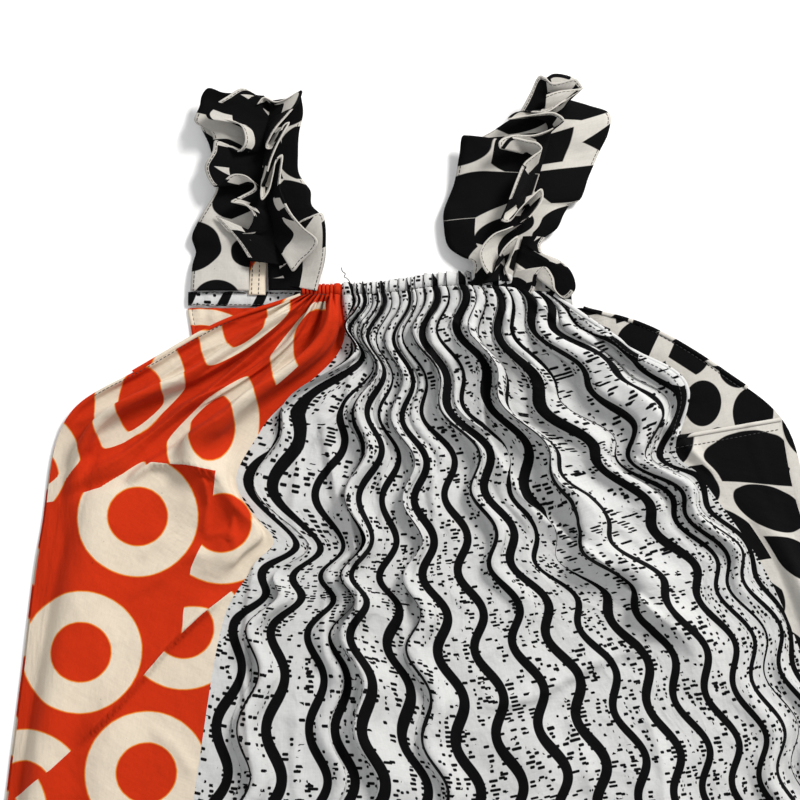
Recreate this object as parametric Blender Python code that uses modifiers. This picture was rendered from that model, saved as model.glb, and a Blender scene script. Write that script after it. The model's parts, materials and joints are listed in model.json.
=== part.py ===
"""A child's sleeveless trapeze dress, laid flat on its back, as walls of cloth.

The front is three strips of cotton gathered onto an elastic casing, the back is three more, and
each shoulder has a folded tape that carries a ruffled strip. X runs across the dress, +Y to the
neck and +Z up from the surface that it lies on. Lengths are metres, and the tables are in mm.
"""

import math

import bmesh
import bpy
import numpy as np

MM = 0.001
LENGTH = 0.560
FRONT_WALL = 0.0018
BACK_WALL = 0.0012
RUFFLE_WALL = 0.0012
TAPE_WALL = 0.0010
TAPE_WIDTH = 0.0095
GAP = 0.0003

# Flat widths of the front's three strips, and where the folds' places are counted from: the wave
# print's lines are LINE apart, and line 0 is half a line in from the strip's left edge.
ORANGE_FLAT = 0.180
LINE = 0.029
WAVE_FLAT = 20.8 * LINE
SIDE_FLAT = 0.100
SEAM_LEFT = ORANGE_FLAT
SEAM_RIGHT = ORANGE_FLAT + WAVE_FLAT
SIDE_RIGHT = SEAM_RIGHT + SIDE_FLAT
ARMPIT_DEPTH = 0.122

# How the front lies. Each row is one thread that runs down the cloth: its place across the flat
# cloth in metres, then its X and its Y in mm at each of the depths below the neck.
DEPTHS = np.array([0, 0.057, 0.109, ARMPIT_DEPTH, 0.161, 0.239, 0.317, LENGTH])
THREADS = (
    (0.0, (-81, -133, -179, -189, -227, -247, -257, -286), (-3, -24, -51, -57, -80, -162, -252, -542)),
    (0.090, (-68, -94, -137, -146, -172, -195, -203, -228), (-3, -41, -77, -86, -115, -193, -291, -560)),
    (SEAM_LEFT, (-54, -57, -106, -111, -106, -130, -145, -169), (-4, -44, -94, -106, -160, -219, -314, -568)),
    (0.3395, (-32, -32, -34, -36, -40, -43, -32, -55), (-4, -57, -110, -124, -167, -229, -321, -573)),
    (0.4265, (-16, -14, -5, -3, 0, 14, 30, 16), (-3, -62, -115, -128, -166, -240, -326, -574)),
    (0.5135, (2, 8, 36, 40, 51, 83, 109, 107), (-2, -58, -109, -122, -159, -229, -308, -572)),
    (0.5715, (21, 34, 61, 66, 78, 125, 157, 159), (-1, -53, -105, -119, -160, -218, -301, -568)),
    (0.6585, (42, 66, 101, 110, 138, 182, 211, 221), (-2, -61, -103, -111, -141, -205, -290, -560)),
    (SEAM_RIGHT, (84, 131, 170, 163, 179, 221, 252, 276), (-7, -41, -79, -100, -126, -190, -275, -550)),
)

# The right side strip starts at the armhole's foot, so its outer edge has fewer depths.
SIDE_DEPTHS = DEPTHS[3:]
SIDE_EDGE = ((231, 237, 254, 273, 296), (-88, -128, -187, -265, -539))


def line(number):
    """Place across the flat front of one of the wave print's lines."""
    return SEAM_LEFT + (number + 0.5) * LINE


# Every large fold of the front: where its crest starts and ends (place across the flat cloth and
# depth below the neck, metres), how high it stands, and how far it falls to its left and right.
FOLDS = (
    # from_u, from_v, to_u, to_v, height, left, right
    (0.002, 0.02, 0.002, 0.20, 0.004, 0.010, 0.010),
    (0.046, -0.02, 0.050, 0.24, 0.013, 0.024, 0.024),
    (0.093, -0.02, 0.092, 0.16, 0.007, 0.016, 0.014),
    (0.148, -0.03, 0.132, 0.19, 0.016, 0.028, 0.034),
    (0.095, 0.14, 0.070, 0.50, 0.009, 0.045, 0.045),
    (0.166, 0.12, 0.160, 0.22, 0.007, 0.022, 0.014),
    (0.130, 0.25, 0.125, 0.60, 0.006, 0.028, 0.028),
    (line(0.9), -0.02, line(1.4), 0.15, 0.006, 0.016, 0.018),
    (line(1.3), 0.15, line(1.2), 0.48, 0.009, 0.013, 0.024),
    (line(3.5), 0.13, line(3.4), 0.44, 0.005, 0.016, 0.016),
    (line(4.1), -0.02, line(5.2), 0.42, 0.011, 0.014, 0.030),
    (line(7.4), -0.02, line(7.1), 0.50, 0.007, 0.014, 0.020),
    (line(10.3), -0.02, line(10.1), 0.26, 0.008, 0.016, 0.024),
    (line(9.6), 0.24, line(9.9), 0.62, 0.006, 0.040, 0.040),
    (line(13.8), -0.02, line(14.9), 0.31, 0.014, 0.026, 0.034),
    (line(12.3), 0.29, line(12.6), 0.62, 0.007, 0.034, 0.042),
    (line(16.1), 0.00, line(16.3), 0.22, 0.007, 0.022, 0.018),
    (line(16.4), 0.26, line(16.9), 0.62, 0.008, 0.032, 0.032),
    (line(18.3), -0.02, line(18.7), 0.27, 0.012, 0.020, 0.026),
    (line(20.2), 0.03, line(20.2), 0.13, 0.006, 0.012, 0.010),
    (line(19.2), 0.24, line(19.4), 0.62, 0.007, 0.028, 0.020),
    (SEAM_RIGHT + 0.050, 0.15, SEAM_RIGHT + 0.052, 0.62, 0.007, 0.036, 0.036),
)

# Gathers at the neck: flat cloth in each one, and how they fade down the cloth.
GATHER = 0.0184
GATHER_HEIGHT = 0.0034
GATHER_FADE = 0.038
CASING_LIFT = 0.0036
LIFT_FADE = 0.045


def smooth(knots, values, at):
    """A cubic through the values at the knots, with slopes taken from each knot's neighbours."""
    knots = np.asarray(knots, float)
    values = np.asarray(values, float)
    at = np.asarray(at, float)
    slopes = np.gradient(values, knots, axis=0)
    i = np.clip(np.searchsorted(knots, at, side="right") - 1, 0, len(knots) - 2)
    width = knots[i + 1] - knots[i]
    t = (at - knots[i]) / width
    shape = t.shape + (1,) * (values.ndim - 1)
    t, width = t.reshape(shape), width.reshape(shape)
    return (
        values[i] * (1 + 2 * t) * (1 - t) ** 2
        + slopes[i] * width * t * (1 - t) ** 2
        + values[i + 1] * t * t * (3 - 2 * t)
        - slopes[i + 1] * width * t * t * (1 - t)
    )


def ease(x):
    x = np.clip(x, 0, 1)
    return x * x * (3 - 2 * x)


def gather_phase(u):
    """Turns of the gathers up to a place across the cloth, uneven as hand-drawn elastic leaves them."""
    return u / GATHER + 0.16 * np.sin(u / 0.021) + 0.12 * np.sin(u / 0.047 + 1.0)


def relief(u, v):
    """Height of the front's cloth above its lowest lie, over the flat place (u, v)."""
    height = 0 * u
    for from_u, from_v, to_u, to_v, rise, left, right in FOLDS:
        along = (v - from_v) / (to_v - from_v)
        crest = from_u + (to_u - from_u) * along
        taper = ease(along / 0.25) * ease((1 - along) / 0.35)
        away = u - crest
        reach = np.where(away < 0, left, right)
        height = height + rise * taper * 0.5 * (1 + np.cos(np.pi * np.clip(away / reach, -1, 1)))
    gathers = 0.5 + 0.5 * np.cos(2 * np.pi * gather_phase(u))
    height = height * (1 - 0.55 * math.exp(-max(v, 0) / 0.02))
    height = height + GATHER_HEIGHT * math.exp(-max(v, 0) / GATHER_FADE) * gathers
    return height + CASING_LIFT * math.exp(-(max(v, 0) / LIFT_FADE) ** 2)


def seam_sway(v):
    """How far the orange strip's seam swings where its loose fold drops over the wave strip, X in mm."""
    return -12 * math.exp(-(((v - 0.140) / 0.014) ** 2)) + 9 * math.exp(-(((v - 0.168) / 0.010) ** 2))


def threads_at(v, right_side):
    """Flat places of the threads, and where they lie at one depth."""
    places = [thread[0] for thread in THREADS]
    spots = [smooth(DEPTHS, np.transpose(thread[1:]), v) for thread in THREADS]
    spots[2] = spots[2] + np.array([seam_sway(v), 0])
    if right_side:
        places.append(SIDE_RIGHT)
        spots.append(smooth(SIDE_DEPTHS, np.transpose(SIDE_EDGE), v))
    return np.array(places), np.array(spots) * MM


def front_row(u, v, right_side=False):
    """Where one row of the front lies. Steep stretches of cloth take less room across, as real cloth does."""
    places, spots = threads_at(v, right_side)
    fine = np.linspace(places[0], places[-1], 1200)
    slope = np.gradient(relief(fine, v), fine)
    across = np.cumsum(np.sqrt(np.clip(1 - slope**2, 0.06, 1)))
    marks = np.interp(places, fine, across)
    number = np.interp(np.interp(u, fine, across), marks, np.arange(len(places)))
    spot = smooth(np.arange(len(places)), spots, number)
    return np.column_stack([spot, BACK_WALL + GAP + relief(u, v)])


# The back lies flat under the front: X and Y in mm down each side edge and each of its two seams.
BACK_DEPTHS = np.array([0, 0.057, 0.109, 0.161, 0.239, 0.317, LENGTH])
BACK_EDGES = {
    "left": ((-154, -153, -181, -229, -249, -259, -288), (-14, -42, -62, -83, -165, -254, -543)),
    "left_seam": ((-92, -98, -106, -114, -124, -134, -166), (-14, -60, -104, -154, -232, -312, -566)),
    "right_seam": ((58, 66, 76, 88, 104, 122, 164), (-14, -60, -104, -154, -232, -312, -566)),
    "right": ((103, 149, 196, 234, 252, 272, 296), (-14, -28, -57, -90, -184, -264, -540)),
}
BACK_GATHER = 0.0105
BACK_RELIEF = 0.0005
BACK_TOP = -0.014
BACK_FADE = 0.010

# The casings: stations along each, X, Y and half-width across in mm, from left to right.
FRONT_CASING = (
    (-81, 1.5, 4.0),
    (-54, 1.5, 4.2),
    (-18, 3.6, 4.6),
    (20, 5.0, 4.8),
    (50, 4.2, 4.8),
    (86, 0.5, 4.6),
)
BACK_CASING = ((-155, -8.0, 5.2), (-100, -8.4, 5.2), (0, -8.6, 5.0), (60, -8.4, 5.0), (104, -8.6, 5.2))
FRONT_CASING_HEIGHT = 0.0042
FRONT_CASING_LOW = BACK_WALL * 2 + GAP + 0.0014
BACK_CASING_HEIGHT = 0.0030
CASING_JOIN = -0.0545
CASING_RIPPLE = 0.0007
CASING_SIDES = 8

# Each shoulder: the path of its tape from the back casing, over the top, to the front casing, and
# how the ruffled strip on it spreads: its reach to the left and right of the tape, and the height
# that those edges stand above it. All in mm; the last column is the size of the edge's waves.
LEFT_STRAP = (
    # share, x, y, z, reach_left, reach_right, rise_left, rise_right, wave
    (0.00, -112, -1.8, 1.5, 40, 22, 0.4, 0.4, 0.8),
    (0.12, -114, 28, 1.7, 38, 26, 0.6, 0.6, 1.0),
    (0.25, -112, 62, 1.8, 27, 26, 0.8, 0.8, 1.2),
    (0.38, -108, 98, 1.9, 38, 24, 0.8, 0.8, 1.2),
    (0.455, -106, 125, 2.4, 39, 22, 0.8, 0.8, 1.2),
    (0.545, -102, 125, 7.8, 33, 20, 5.0, 6.0, 3.0),
    (0.65, -100, 92, 8.2, 27, 20, 9.0, 11.0, 5.0),
    (0.78, -94, 58, 8.2, 26, 20, 10.0, 13.0, 5.5),
    (0.90, -84, 26, 8.0, 28, 20, 9.0, 13.0, 5.5),
    (1.00, -74, 6.4, 7.4, 26, 10, 5.0, 8.0, 3.0),
)
RIGHT_STRAP = (
    (0.00, 84, -1.8, 1.5, 24, 12, 0.4, 0.4, 0.8),
    (0.12, 74, 26, 1.7, 26, 11, 0.6, 0.6, 1.0),
    (0.25, 78, 62, 1.8, 30, 25, 0.8, 0.8, 1.2),
    (0.38, 86, 100, 1.9, 32, 35, 0.8, 0.8, 1.2),
    (0.455, 88, 131, 2.4, 20, 28, 0.8, 0.8, 1.2),
    (0.545, 84, 131, 7.8, 18, 17, 5.0, 6.0, 3.0),
    (0.65, 72, 94, 8.2, 36, 16, 10.0, 11.0, 5.0),
    (0.78, 60, 60, 8.2, 40, 17, 11.0, 13.0, 5.5),
    (0.90, 54, 28, 8.0, 38, 18, 10.0, 13.0, 5.5),
    (1.00, 54, 10.0, 7.4, 22, 20, 5.0, 8.0, 3.0),
)
RUFFLE_TURNS = 13
RUFFLE_CURL = 1.15
TAPE_INSET = 0.0016
# Shares of a strap's length where it has taken up its lean, and where it turns over the shoulder.
LEAN_START = 0.2
TURN_START = 0.455
STEP = 0.004

COLOURS = {
    "ring": (0.72, 0.06, 0.015, 1),
    "wave": (0.70, 0.71, 0.70, 1),
    "block": (0.55, 0.50, 0.44, 1),
}


def material(name, colour):
    made = bpy.data.materials.new(name)
    made.use_nodes = True
    shader = made.node_tree.nodes["Principled BSDF"]
    shader.inputs["Base Color"].default_value = colour
    shader.inputs["Roughness"].default_value = 0.85
    shader.inputs["Metallic"].default_value = 0.0
    return made


def grid(columns, rows):
    """A bmesh sheet of the given counts of points, and its points in rows from 0 to 1 each way."""
    sheet = bmesh.new()
    bmesh.ops.create_grid(sheet, x_segments=columns - 1, y_segments=rows - 1, size=0.5)
    points = sorted(sheet.verts, key=lambda point: (round(point.co.y, 6), point.co.x))
    return sheet, points


def finish(name, sheet, colour, thickness=0):
    """Turns a bmesh into an object of the dress, with Solidify where it is still an open sheet."""
    mesh = bpy.data.meshes.new(name)
    bmesh.ops.recalc_face_normals(sheet, faces=sheet.faces)
    sheet.to_mesh(mesh)
    sheet.free()
    piece = bpy.data.objects.new(name, mesh)
    dress.objects.link(piece)
    mesh.materials.append(material(name, colour))
    mesh.shade_smooth()
    mesh.set_sharp_from_angle(angle=math.radians(50))
    if thickness:
        wall = piece.modifiers.new("cloth", "SOLIDIFY")
        wall.thickness = thickness
        wall.offset = 0
    return piece


def wall_up(name, places, colour, thickness):
    """A height field of cloth: rows of points, each with the same wall straight above it."""
    rows, columns = places.shape[:2]
    sheet, points = grid(columns, rows)
    for point, place in zip(points, places.reshape(-1, 3)):
        point.co = place
    raised = bmesh.ops.extrude_face_region(sheet, geom=sheet.faces[:])
    top = [item for item in raised["geom"] if isinstance(item, bmesh.types.BMVert)]
    bmesh.ops.translate(sheet, verts=top, vec=(0, 0, thickness))
    return finish(name, sheet, colour)


def front_panel(name, depths, columns, colour, trims, right_side=False):
    """One strip of the front, over its columns' flat places, drawn in at its seams by the trims."""
    rows = []
    for v in depths:
        row = front_row(columns, v, right_side)
        row[0, 0] += trims[0]
        row[-1, 0] -= trims[1]
        rows.append(row)
    return wall_up(name, np.array(rows), colour, FRONT_WALL)


def gather_columns(from_u, to_u, each):
    """Columns of points that meet the gathers' crests, a few to each one."""
    fine = np.linspace(from_u, to_u, 4000)
    turns = gather_phase(fine) * each
    whole = np.arange(math.ceil(turns[0] + 0.4), math.floor(turns[-1] - 0.4) + 1)
    return np.concatenate([[from_u], np.interp(whole, turns, fine), [to_u]])


def back_panel(name, left, right, columns, rows, colour):
    """A strip of the back: flat below, with shallow gathers on top under its casing."""
    depths = np.linspace(0, 1, rows) ** 1.5 * LENGTH
    places = []
    for v in depths:
        start = smooth(BACK_DEPTHS, np.transpose(BACK_EDGES[left]), v) * MM
        end = smooth(BACK_DEPTHS, np.transpose(BACK_EDGES[right]), v) * MM
        row = start + (end - start) * np.linspace(0, 1, columns)[:, None]
        row[0, 0] += GAP / 2
        row[-1, 0] -= GAP / 2
        places.append(np.column_stack([row, np.zeros(columns)]))
    places = np.array(places)
    sheet, points = grid(columns, rows)
    for point, place in zip(points, places.reshape(-1, 3)):
        point.co = place
    raised = bmesh.ops.extrude_face_region(sheet, geom=sheet.faces[:])
    for item in raised["geom"]:
        if isinstance(item, bmesh.types.BMVert):
            below = min(0, item.co.y - BACK_TOP)
            hollow = 0.5 - 0.5 * math.cos(2 * math.pi * item.co.x / BACK_GATHER)
            item.co.z += BACK_WALL - BACK_RELIEF * math.exp(below / BACK_FADE) * hollow
    return finish(name, sheet, colour)


def casing(name, table, span, low, height, stations, colour):
    """An elastic casing: a flattened tube, drawn up into ripples along its top and both edges."""
    table = np.array(table)
    xs = np.linspace(*span, stations)
    sheet = bmesh.new()
    rings = []
    for i, x in enumerate(xs):
        _, y, half = smooth(table[:, 0], table, x / MM) * MM
        draw = CASING_RIPPLE * (1 if i % 2 else -1)
        ring = []
        for k in range(CASING_SIDES):
            turn = 2 * math.pi * (k + 0.5) / CASING_SIDES
            across = (half + draw) * math.cos(turn)
            up = height / 2 * math.sin(turn) / math.sin(math.pi * 3 / CASING_SIDES)
            up = up + (draw * 0.6 if math.sin(turn) > 0 or low > 0 else 0)
            ring.append(sheet.verts.new((x, y + across, low + height / 2 + up)))
        rings.append(ring)
    for before, after in zip(rings, rings[1:]):
        for k in range(CASING_SIDES):
            sheet.faces.new((before[k], before[k - 1], after[k - 1], after[k]))
    sheet.faces.new(rings[0])
    sheet.faces.new(rings[-1][::-1])
    return finish(name, sheet, colour)


def strap_frame(table, share):
    """The tape's place and spread at a share of its length, the way across it and the way in."""
    table = np.array(table, float)
    row = smooth(table[:, 0], table[:, 1:], share)
    turn_from = smooth(table[:, 0], table[:, 1:4], TURN_START)
    turn_to = smooth(table[:, 0], table[:, 1:4], 1 - TURN_START)
    lean = math.atan2(turn_from[0] - (table[0, 1] + table[-1, 1]) / 2, turn_from[1])
    lean = lean * ease(min(share, 1 - share) / LEAN_START)
    across = np.array([math.cos(lean), -math.sin(lean), 0])
    turn = (share - TURN_START) / (1 - 2 * TURN_START)
    if 0 < turn < 1:
        radius = (turn_to[2] - turn_from[2]) / 2
        row[1] = turn_from[1] + radius * math.sin(math.pi * turn)
        row[2] = turn_from[2] + radius * (1 - math.cos(math.pi * turn))
        tangent = np.array([0, math.cos(math.pi * turn), math.sin(math.pi * turn)])
    else:
        ahead = smooth(table[:, 0], table[:, 1:4], min(share + STEP, 1))
        behind = smooth(table[:, 0], table[:, 1:4], max(share - STEP, 0))
        tangent = (ahead - behind) / np.linalg.norm(ahead - behind)
    inward = np.cross(across, tangent)
    return row, across, inward / np.linalg.norm(inward)


def strap_shares(start, each_half, over_top):
    """Shares of the strap's length for its rows of points, closer where it turns over the shoulder."""
    first = np.linspace(start, TURN_START, each_half)[:-1]
    turn = np.linspace(TURN_START, 1 - TURN_START, over_top)
    return np.concatenate([first, turn, 1 - first[::-1]])


def ruffle(name, table, columns, shares, colour):
    """The ruffled strip: caught along the tape, and waving at both of its edges."""
    places = []
    for share in shares:
        row, across, _ = strap_frame(table, share)
        x, y, z, reach_left, reach_right, rise_left, rise_right, wave = row * MM
        front = ease((share - 0.46) / 0.08)
        for w in np.linspace(-1, 1, columns):
            reach, rise = (reach_left, rise_left) if w < 0 else (reach_right, rise_right)
            turn = 2 * math.pi * RUFFLE_TURNS * share + (0.9 if w < 0 else 0)
            out = (max(abs(w) * reach - TAPE_WIDTH / 2, 0) / (reach - TAPE_WIDTH / 2)) ** RUFFLE_CURL
            edge = np.array([x, y, z]) + across * w * (reach + wave * 0.5 * math.cos(turn) * out)
            edge[1] += wave * 0.55 * math.sin(2 * turn) * out * front
            edge[2] += out * (rise + wave * (0.45 + 0.35 * front) * (1 + math.sin(turn)))
            places.append(edge)
    sheet, points = grid(columns, len(shares))
    for point, place in zip(points, places):
        point.co = place
    return finish(name, sheet, colour, RUFFLE_WALL)


def tape(name, table, shares, colour):
    """The folded tape inside the ruffle, from one casing over the shoulder to the other."""
    places = []
    for share in shares:
        row, across, inward = strap_frame(table, share)
        centre = row[:3] * MM + inward * TAPE_INSET
        for side in (-0.5, 0, 0.5):
            places.append(centre + across * TAPE_WIDTH * side)
    sheet, points = grid(3, len(shares))
    for point, place in zip(points, places):
        point.co = place
    return finish(name, sheet, colour, TAPE_WALL)


def centre_on_origin():
    """Moves the dress so that its box is centred on the origin and stands on Z = 0."""
    bpy.context.view_layer.update()
    graph = bpy.context.evaluated_depsgraph_get()
    corners = []
    for piece in dress.objects:
        shown = piece.evaluated_get(graph).to_mesh()
        corners.extend(tuple(point.co) for point in shown.vertices)
    corners = np.array(corners)
    low, high = corners.min(axis=0), corners.max(axis=0)
    for piece in dress.objects:
        piece.location = (-(low[0] + high[0]) / 2, -(low[1] + high[1]) / 2, 0)


for old in list(bpy.data.objects):
    bpy.data.objects.remove(old)
dress = bpy.data.collections.new("trapeze dress")
bpy.context.scene.collection.children.link(dress)

# The depths of the front's rows of points, closer where the armholes and the loose fold bend it.
DOWN = (0, 0.012, 0.030, 0.057, 0.085, 0.109, ARMPIT_DEPTH)
DOWN_SIDE = (ARMPIT_DEPTH, 0.145, 0.168, 0.200, 0.239, 0.300, 0.400, LENGTH)
left_columns = gather_columns(0, SEAM_LEFT, 3)
center_columns = gather_columns(SEAM_LEFT, SEAM_RIGHT, 3)
side_columns = np.linspace(SEAM_RIGHT, SIDE_RIGHT, 9)
depths = DOWN + DOWN_SIDE[1:]
front_panel("front_left_panel", depths, left_columns, COLOURS["ring"], (0, GAP / 2))
front_panel("front_center_panel", depths, center_columns, COLOURS["wave"], (GAP / 2, GAP / 2))
front_panel("front_right_panel", DOWN_SIDE, side_columns, COLOURS["block"], (GAP / 2, 0), right_side=True)

back_panel("back_left_panel", "left", "left_seam", 12, 10, COLOURS["ring"])
back_panel("back_center_panel", "left_seam", "right_seam", 8, 10, COLOURS["wave"])
back_panel("back_right_panel", "right_seam", "right", 10, 10, COLOURS["block"])

for name, table, span, low, height, stations, colour in (
    (
        "front_casing_left",
        FRONT_CASING,
        (-0.081, CASING_JOIN - GAP / 2),
        FRONT_CASING_LOW,
        FRONT_CASING_HEIGHT,
        11,
        "ring",
    ),
    (
        "front_casing",
        FRONT_CASING,
        (CASING_JOIN + GAP / 2, 0.086),
        FRONT_CASING_LOW,
        FRONT_CASING_HEIGHT,
        53,
        "wave",
    ),
    ("back_casing", BACK_CASING, (-0.155, 0.104), 0, BACK_CASING_HEIGHT, 43, "wave"),
):
    casing(name, table, span, low, height, stations, COLOURS[colour])

for side, table in (("left", LEFT_STRAP), ("right", RIGHT_STRAP)):
    ruffle(side + "_ruffle", table, 9, strap_shares(0, 27, 12), COLOURS["block"])
    tape(side + "_strap_band", table, strap_shares(0.012, 9, 12), COLOURS["ring"])

centre_on_origin()
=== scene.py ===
"""A child's trapeze dress in three printed cottons, laid flat on its back and seen from above.

It is put together here as it is sewn: the front's strips, the back's, the elastic casings that
gather them, the shoulder tapes with their ruffles, then the thread. Lengths are metres.
"""

import json
import math

import bmesh
import bpy
import numpy as np
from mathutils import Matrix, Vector
from mathutils.bvhtree import BVHTree

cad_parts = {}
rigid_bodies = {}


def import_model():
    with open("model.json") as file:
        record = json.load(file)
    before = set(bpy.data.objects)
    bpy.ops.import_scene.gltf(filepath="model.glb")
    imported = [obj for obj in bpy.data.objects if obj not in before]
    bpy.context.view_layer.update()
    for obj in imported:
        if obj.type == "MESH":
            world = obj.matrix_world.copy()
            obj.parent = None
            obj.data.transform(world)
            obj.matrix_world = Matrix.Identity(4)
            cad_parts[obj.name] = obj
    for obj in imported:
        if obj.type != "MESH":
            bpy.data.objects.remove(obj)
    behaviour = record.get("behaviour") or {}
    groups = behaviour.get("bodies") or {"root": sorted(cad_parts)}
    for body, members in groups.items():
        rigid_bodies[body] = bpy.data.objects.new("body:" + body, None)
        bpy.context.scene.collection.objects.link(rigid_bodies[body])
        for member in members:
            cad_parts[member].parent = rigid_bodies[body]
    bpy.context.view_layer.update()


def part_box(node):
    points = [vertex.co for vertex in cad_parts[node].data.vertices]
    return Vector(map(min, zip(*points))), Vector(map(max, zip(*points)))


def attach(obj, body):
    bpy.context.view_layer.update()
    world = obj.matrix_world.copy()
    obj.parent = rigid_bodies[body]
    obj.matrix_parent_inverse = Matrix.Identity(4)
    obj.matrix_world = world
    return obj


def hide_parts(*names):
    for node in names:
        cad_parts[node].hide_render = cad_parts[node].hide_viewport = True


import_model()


# The front's wide strip is plain-weave cotton, printed off-white with black waving lines and short
# dashes. It is cut as a rectangle and drawn up at the neck, and lies in long folds that fan out
# from the elastic.
MM = 0.001
LENGTH = 0.560
ORANGE_FLAT = 0.180
LINE = 0.029
WAVE_FLAT = 20.8 * LINE
SIDE_FLAT = 0.100
SIDE_SHOWN = 0.042
SEAM_LEFT = ORANGE_FLAT
SEAM_RIGHT = ORANGE_FLAT + WAVE_FLAT
SIDE_RIGHT = SEAM_RIGHT + SIDE_FLAT
ARMPIT_DEPTH = 0.122
GAP = 0.0003
BACK_WALL = 0.0012
CLOTH_LOW = BACK_WALL + GAP + 0.0009

# The neck's middle in the part's frame, from the top edge of the back and the back casing's end.
NECK = np.array([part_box("back_casing")[0][0] + 0.155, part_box("back_center_panel")[1][1] + 0.014, 0.0])

# Each thread that runs down the front: its place across the flat cloth, then X and Y in mm, from
# the neck's middle, at each depth below the neck.
DEPTHS = np.array([0, 0.057, 0.109, ARMPIT_DEPTH, 0.161, 0.239, 0.317, LENGTH])
THREADS = (
    (0.0, (-81, -133, -179, -189, -227, -247, -257, -286), (-7, -25, -51, -57, -80, -162, -252, -542)),
    (0.090, (-68, -94, -143, -156, -190, -216, -232, -257), (-7, -42, -74, -80, -104, -180, -270, -551)),
    (SEAM_LEFT, (-54, -57, -106, -111, -106, -130, -145, -169), (-7, -45, -94, -106, -160, -219, -314, -568)),
    (0.3395, (-32, -32, -34, -36, -40, -43, -32, -55), (-6, -58, -110, -124, -167, -229, -321, -573)),
    (0.4265, (-16, -14, -5, -3, 0, 14, 30, 16), (-4.5, -62, -115, -128, -166, -240, -326, -574)),
    (0.5135, (2, 8, 36, 40, 51, 83, 109, 107), (-2, -58, -109, -122, -159, -229, -308, -572)),
    (0.5715, (21, 34, 61, 66, 78, 125, 157, 159), (-1, -53, -105, -119, -160, -218, -301, -568)),
    (0.6585, (42, 66, 101, 110, 138, 182, 211, 221), (-2, -61, -103, -111, -141, -205, -290, -560)),
    (SEAM_RIGHT, (84, 131, 170, 163, 179, 221, 252, 276), (-7, -41, -79, -100, -126, -190, -275, -550)),
)
SIDE_DEPTHS = DEPTHS[3:]
SIDE_EDGE = ((231, 237, 254, 273, 296), (-88, -128, -187, -265, -539))


def line(number):
    """Place across the flat front of one of the print's waving lines."""
    return SEAM_LEFT + (number + 0.5) * LINE


# The large folds: where a crest starts and ends (across the cloth and down it, metres), how high
# it stands, and how far it falls away to the left and the right.
FOLDS = (
    (0.002, 0.02, 0.002, 0.20, 0.004, 0.010, 0.010),
    (0.046, -0.02, 0.050, 0.24, 0.013, 0.024, 0.024),
    (0.093, -0.02, 0.092, 0.16, 0.007, 0.016, 0.014),
    (0.148, -0.03, 0.132, 0.19, 0.016, 0.028, 0.034),
    (0.095, 0.14, 0.070, 0.50, 0.009, 0.045, 0.045),
    (0.166, 0.12, 0.160, 0.22, 0.007, 0.022, 0.014),
    (0.130, 0.25, 0.125, 0.60, 0.006, 0.028, 0.028),
    (line(0.9), -0.02, line(1.4), 0.15, 0.006, 0.016, 0.018),
    (line(1.3), 0.15, line(1.2), 0.48, 0.009, 0.013, 0.024),
    (line(3.5), 0.13, line(3.4), 0.44, 0.005, 0.016, 0.016),
    (line(4.1), -0.02, line(5.2), 0.42, 0.011, 0.014, 0.030),
    (line(7.4), -0.02, line(7.1), 0.50, 0.007, 0.014, 0.020),
    (line(10.3), -0.02, line(10.1), 0.26, 0.008, 0.016, 0.024),
    (line(9.6), 0.24, line(9.9), 0.62, 0.006, 0.040, 0.040),
    (line(13.8), -0.02, line(14.9), 0.31, 0.014, 0.026, 0.034),
    (line(12.3), 0.29, line(12.6), 0.62, 0.007, 0.034, 0.042),
    (line(16.1), 0.00, line(16.3), 0.22, 0.007, 0.022, 0.018),
    (line(16.4), 0.26, line(16.9), 0.62, 0.008, 0.032, 0.032),
    (line(18.3), -0.02, line(18.7), 0.27, 0.012, 0.020, 0.026),
    (line(20.2), 0.03, line(20.2), 0.13, 0.006, 0.012, 0.010),
    (line(19.2), 0.24, line(19.4), 0.62, 0.007, 0.028, 0.020),
    (SEAM_RIGHT + 0.050, 0.15, SEAM_RIGHT + 0.052, 0.62, 0.007, 0.036, 0.036),
)
# Where the wave strip tucks under itself beside a fold: at each depth, the tuck's place among the
# print's lines and the flat cloth that it hides, in mm.
TUCK_DEPTHS = (0.02, 0.055, 0.095, 0.162, 0.25, 0.33, 0.56)
TUCKS = (
    ((0.3, 0.4, 0.5, 1.0, 0.5, 0.5, 0.5), (10, 40, 56, 32, 14, 10, 6)),
    ((3.3, 3.4, 3.5, 4.4, 3.8, 3.6, 3.6), (0, 8, 13, 17, 9, 8, 6)),
    ((5.5, 5.5, 5.5, 5.6, 5.6, 5.6, 5.6), (0, 6, 11, 3, 0, 0, 0)),
    ((7.0, 7.0, 7.0, 7.2, 6.5, 6.5, 6.5), (0, 12, 20, 17, 13, 11, 8)),
    ((10.3, 10.3, 10.4, 10.5, 10.5, 10.5, 10.5), (0, 10, 15, 10, 0, 0, 0)),
    ((11.4, 11.4, 11.6, 13.0, 13.4, 13.5, 13.5), (0, 5, 9, 19, 7, 0, 0)),
    ((14.0, 14.0, 14.0, 14.6, 14.8, 15, 15), (0, 12, 20, 6, 0, 0, 0)),
    ((16.8, 16.8, 17.0, 17.5, 17.8, 18, 18), (0, 14, 20, 16, 10, 7, 4)),
    ((19.3, 19.4, 19.5, 19.6, 19.6, 19.6, 19.6), (0, 10, 12, 8, 8, 6, 4)),
)
TUCK_EDGE = 0.0025
SWING_SHOWN = 0.85
GATHER = 0.0184
GATHER_HEIGHT = 0.0060
GATHER_REACH = 0.018
GATHER_REACH_MORE = 0.075
GATHER_WEAKEST = 0.75
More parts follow.
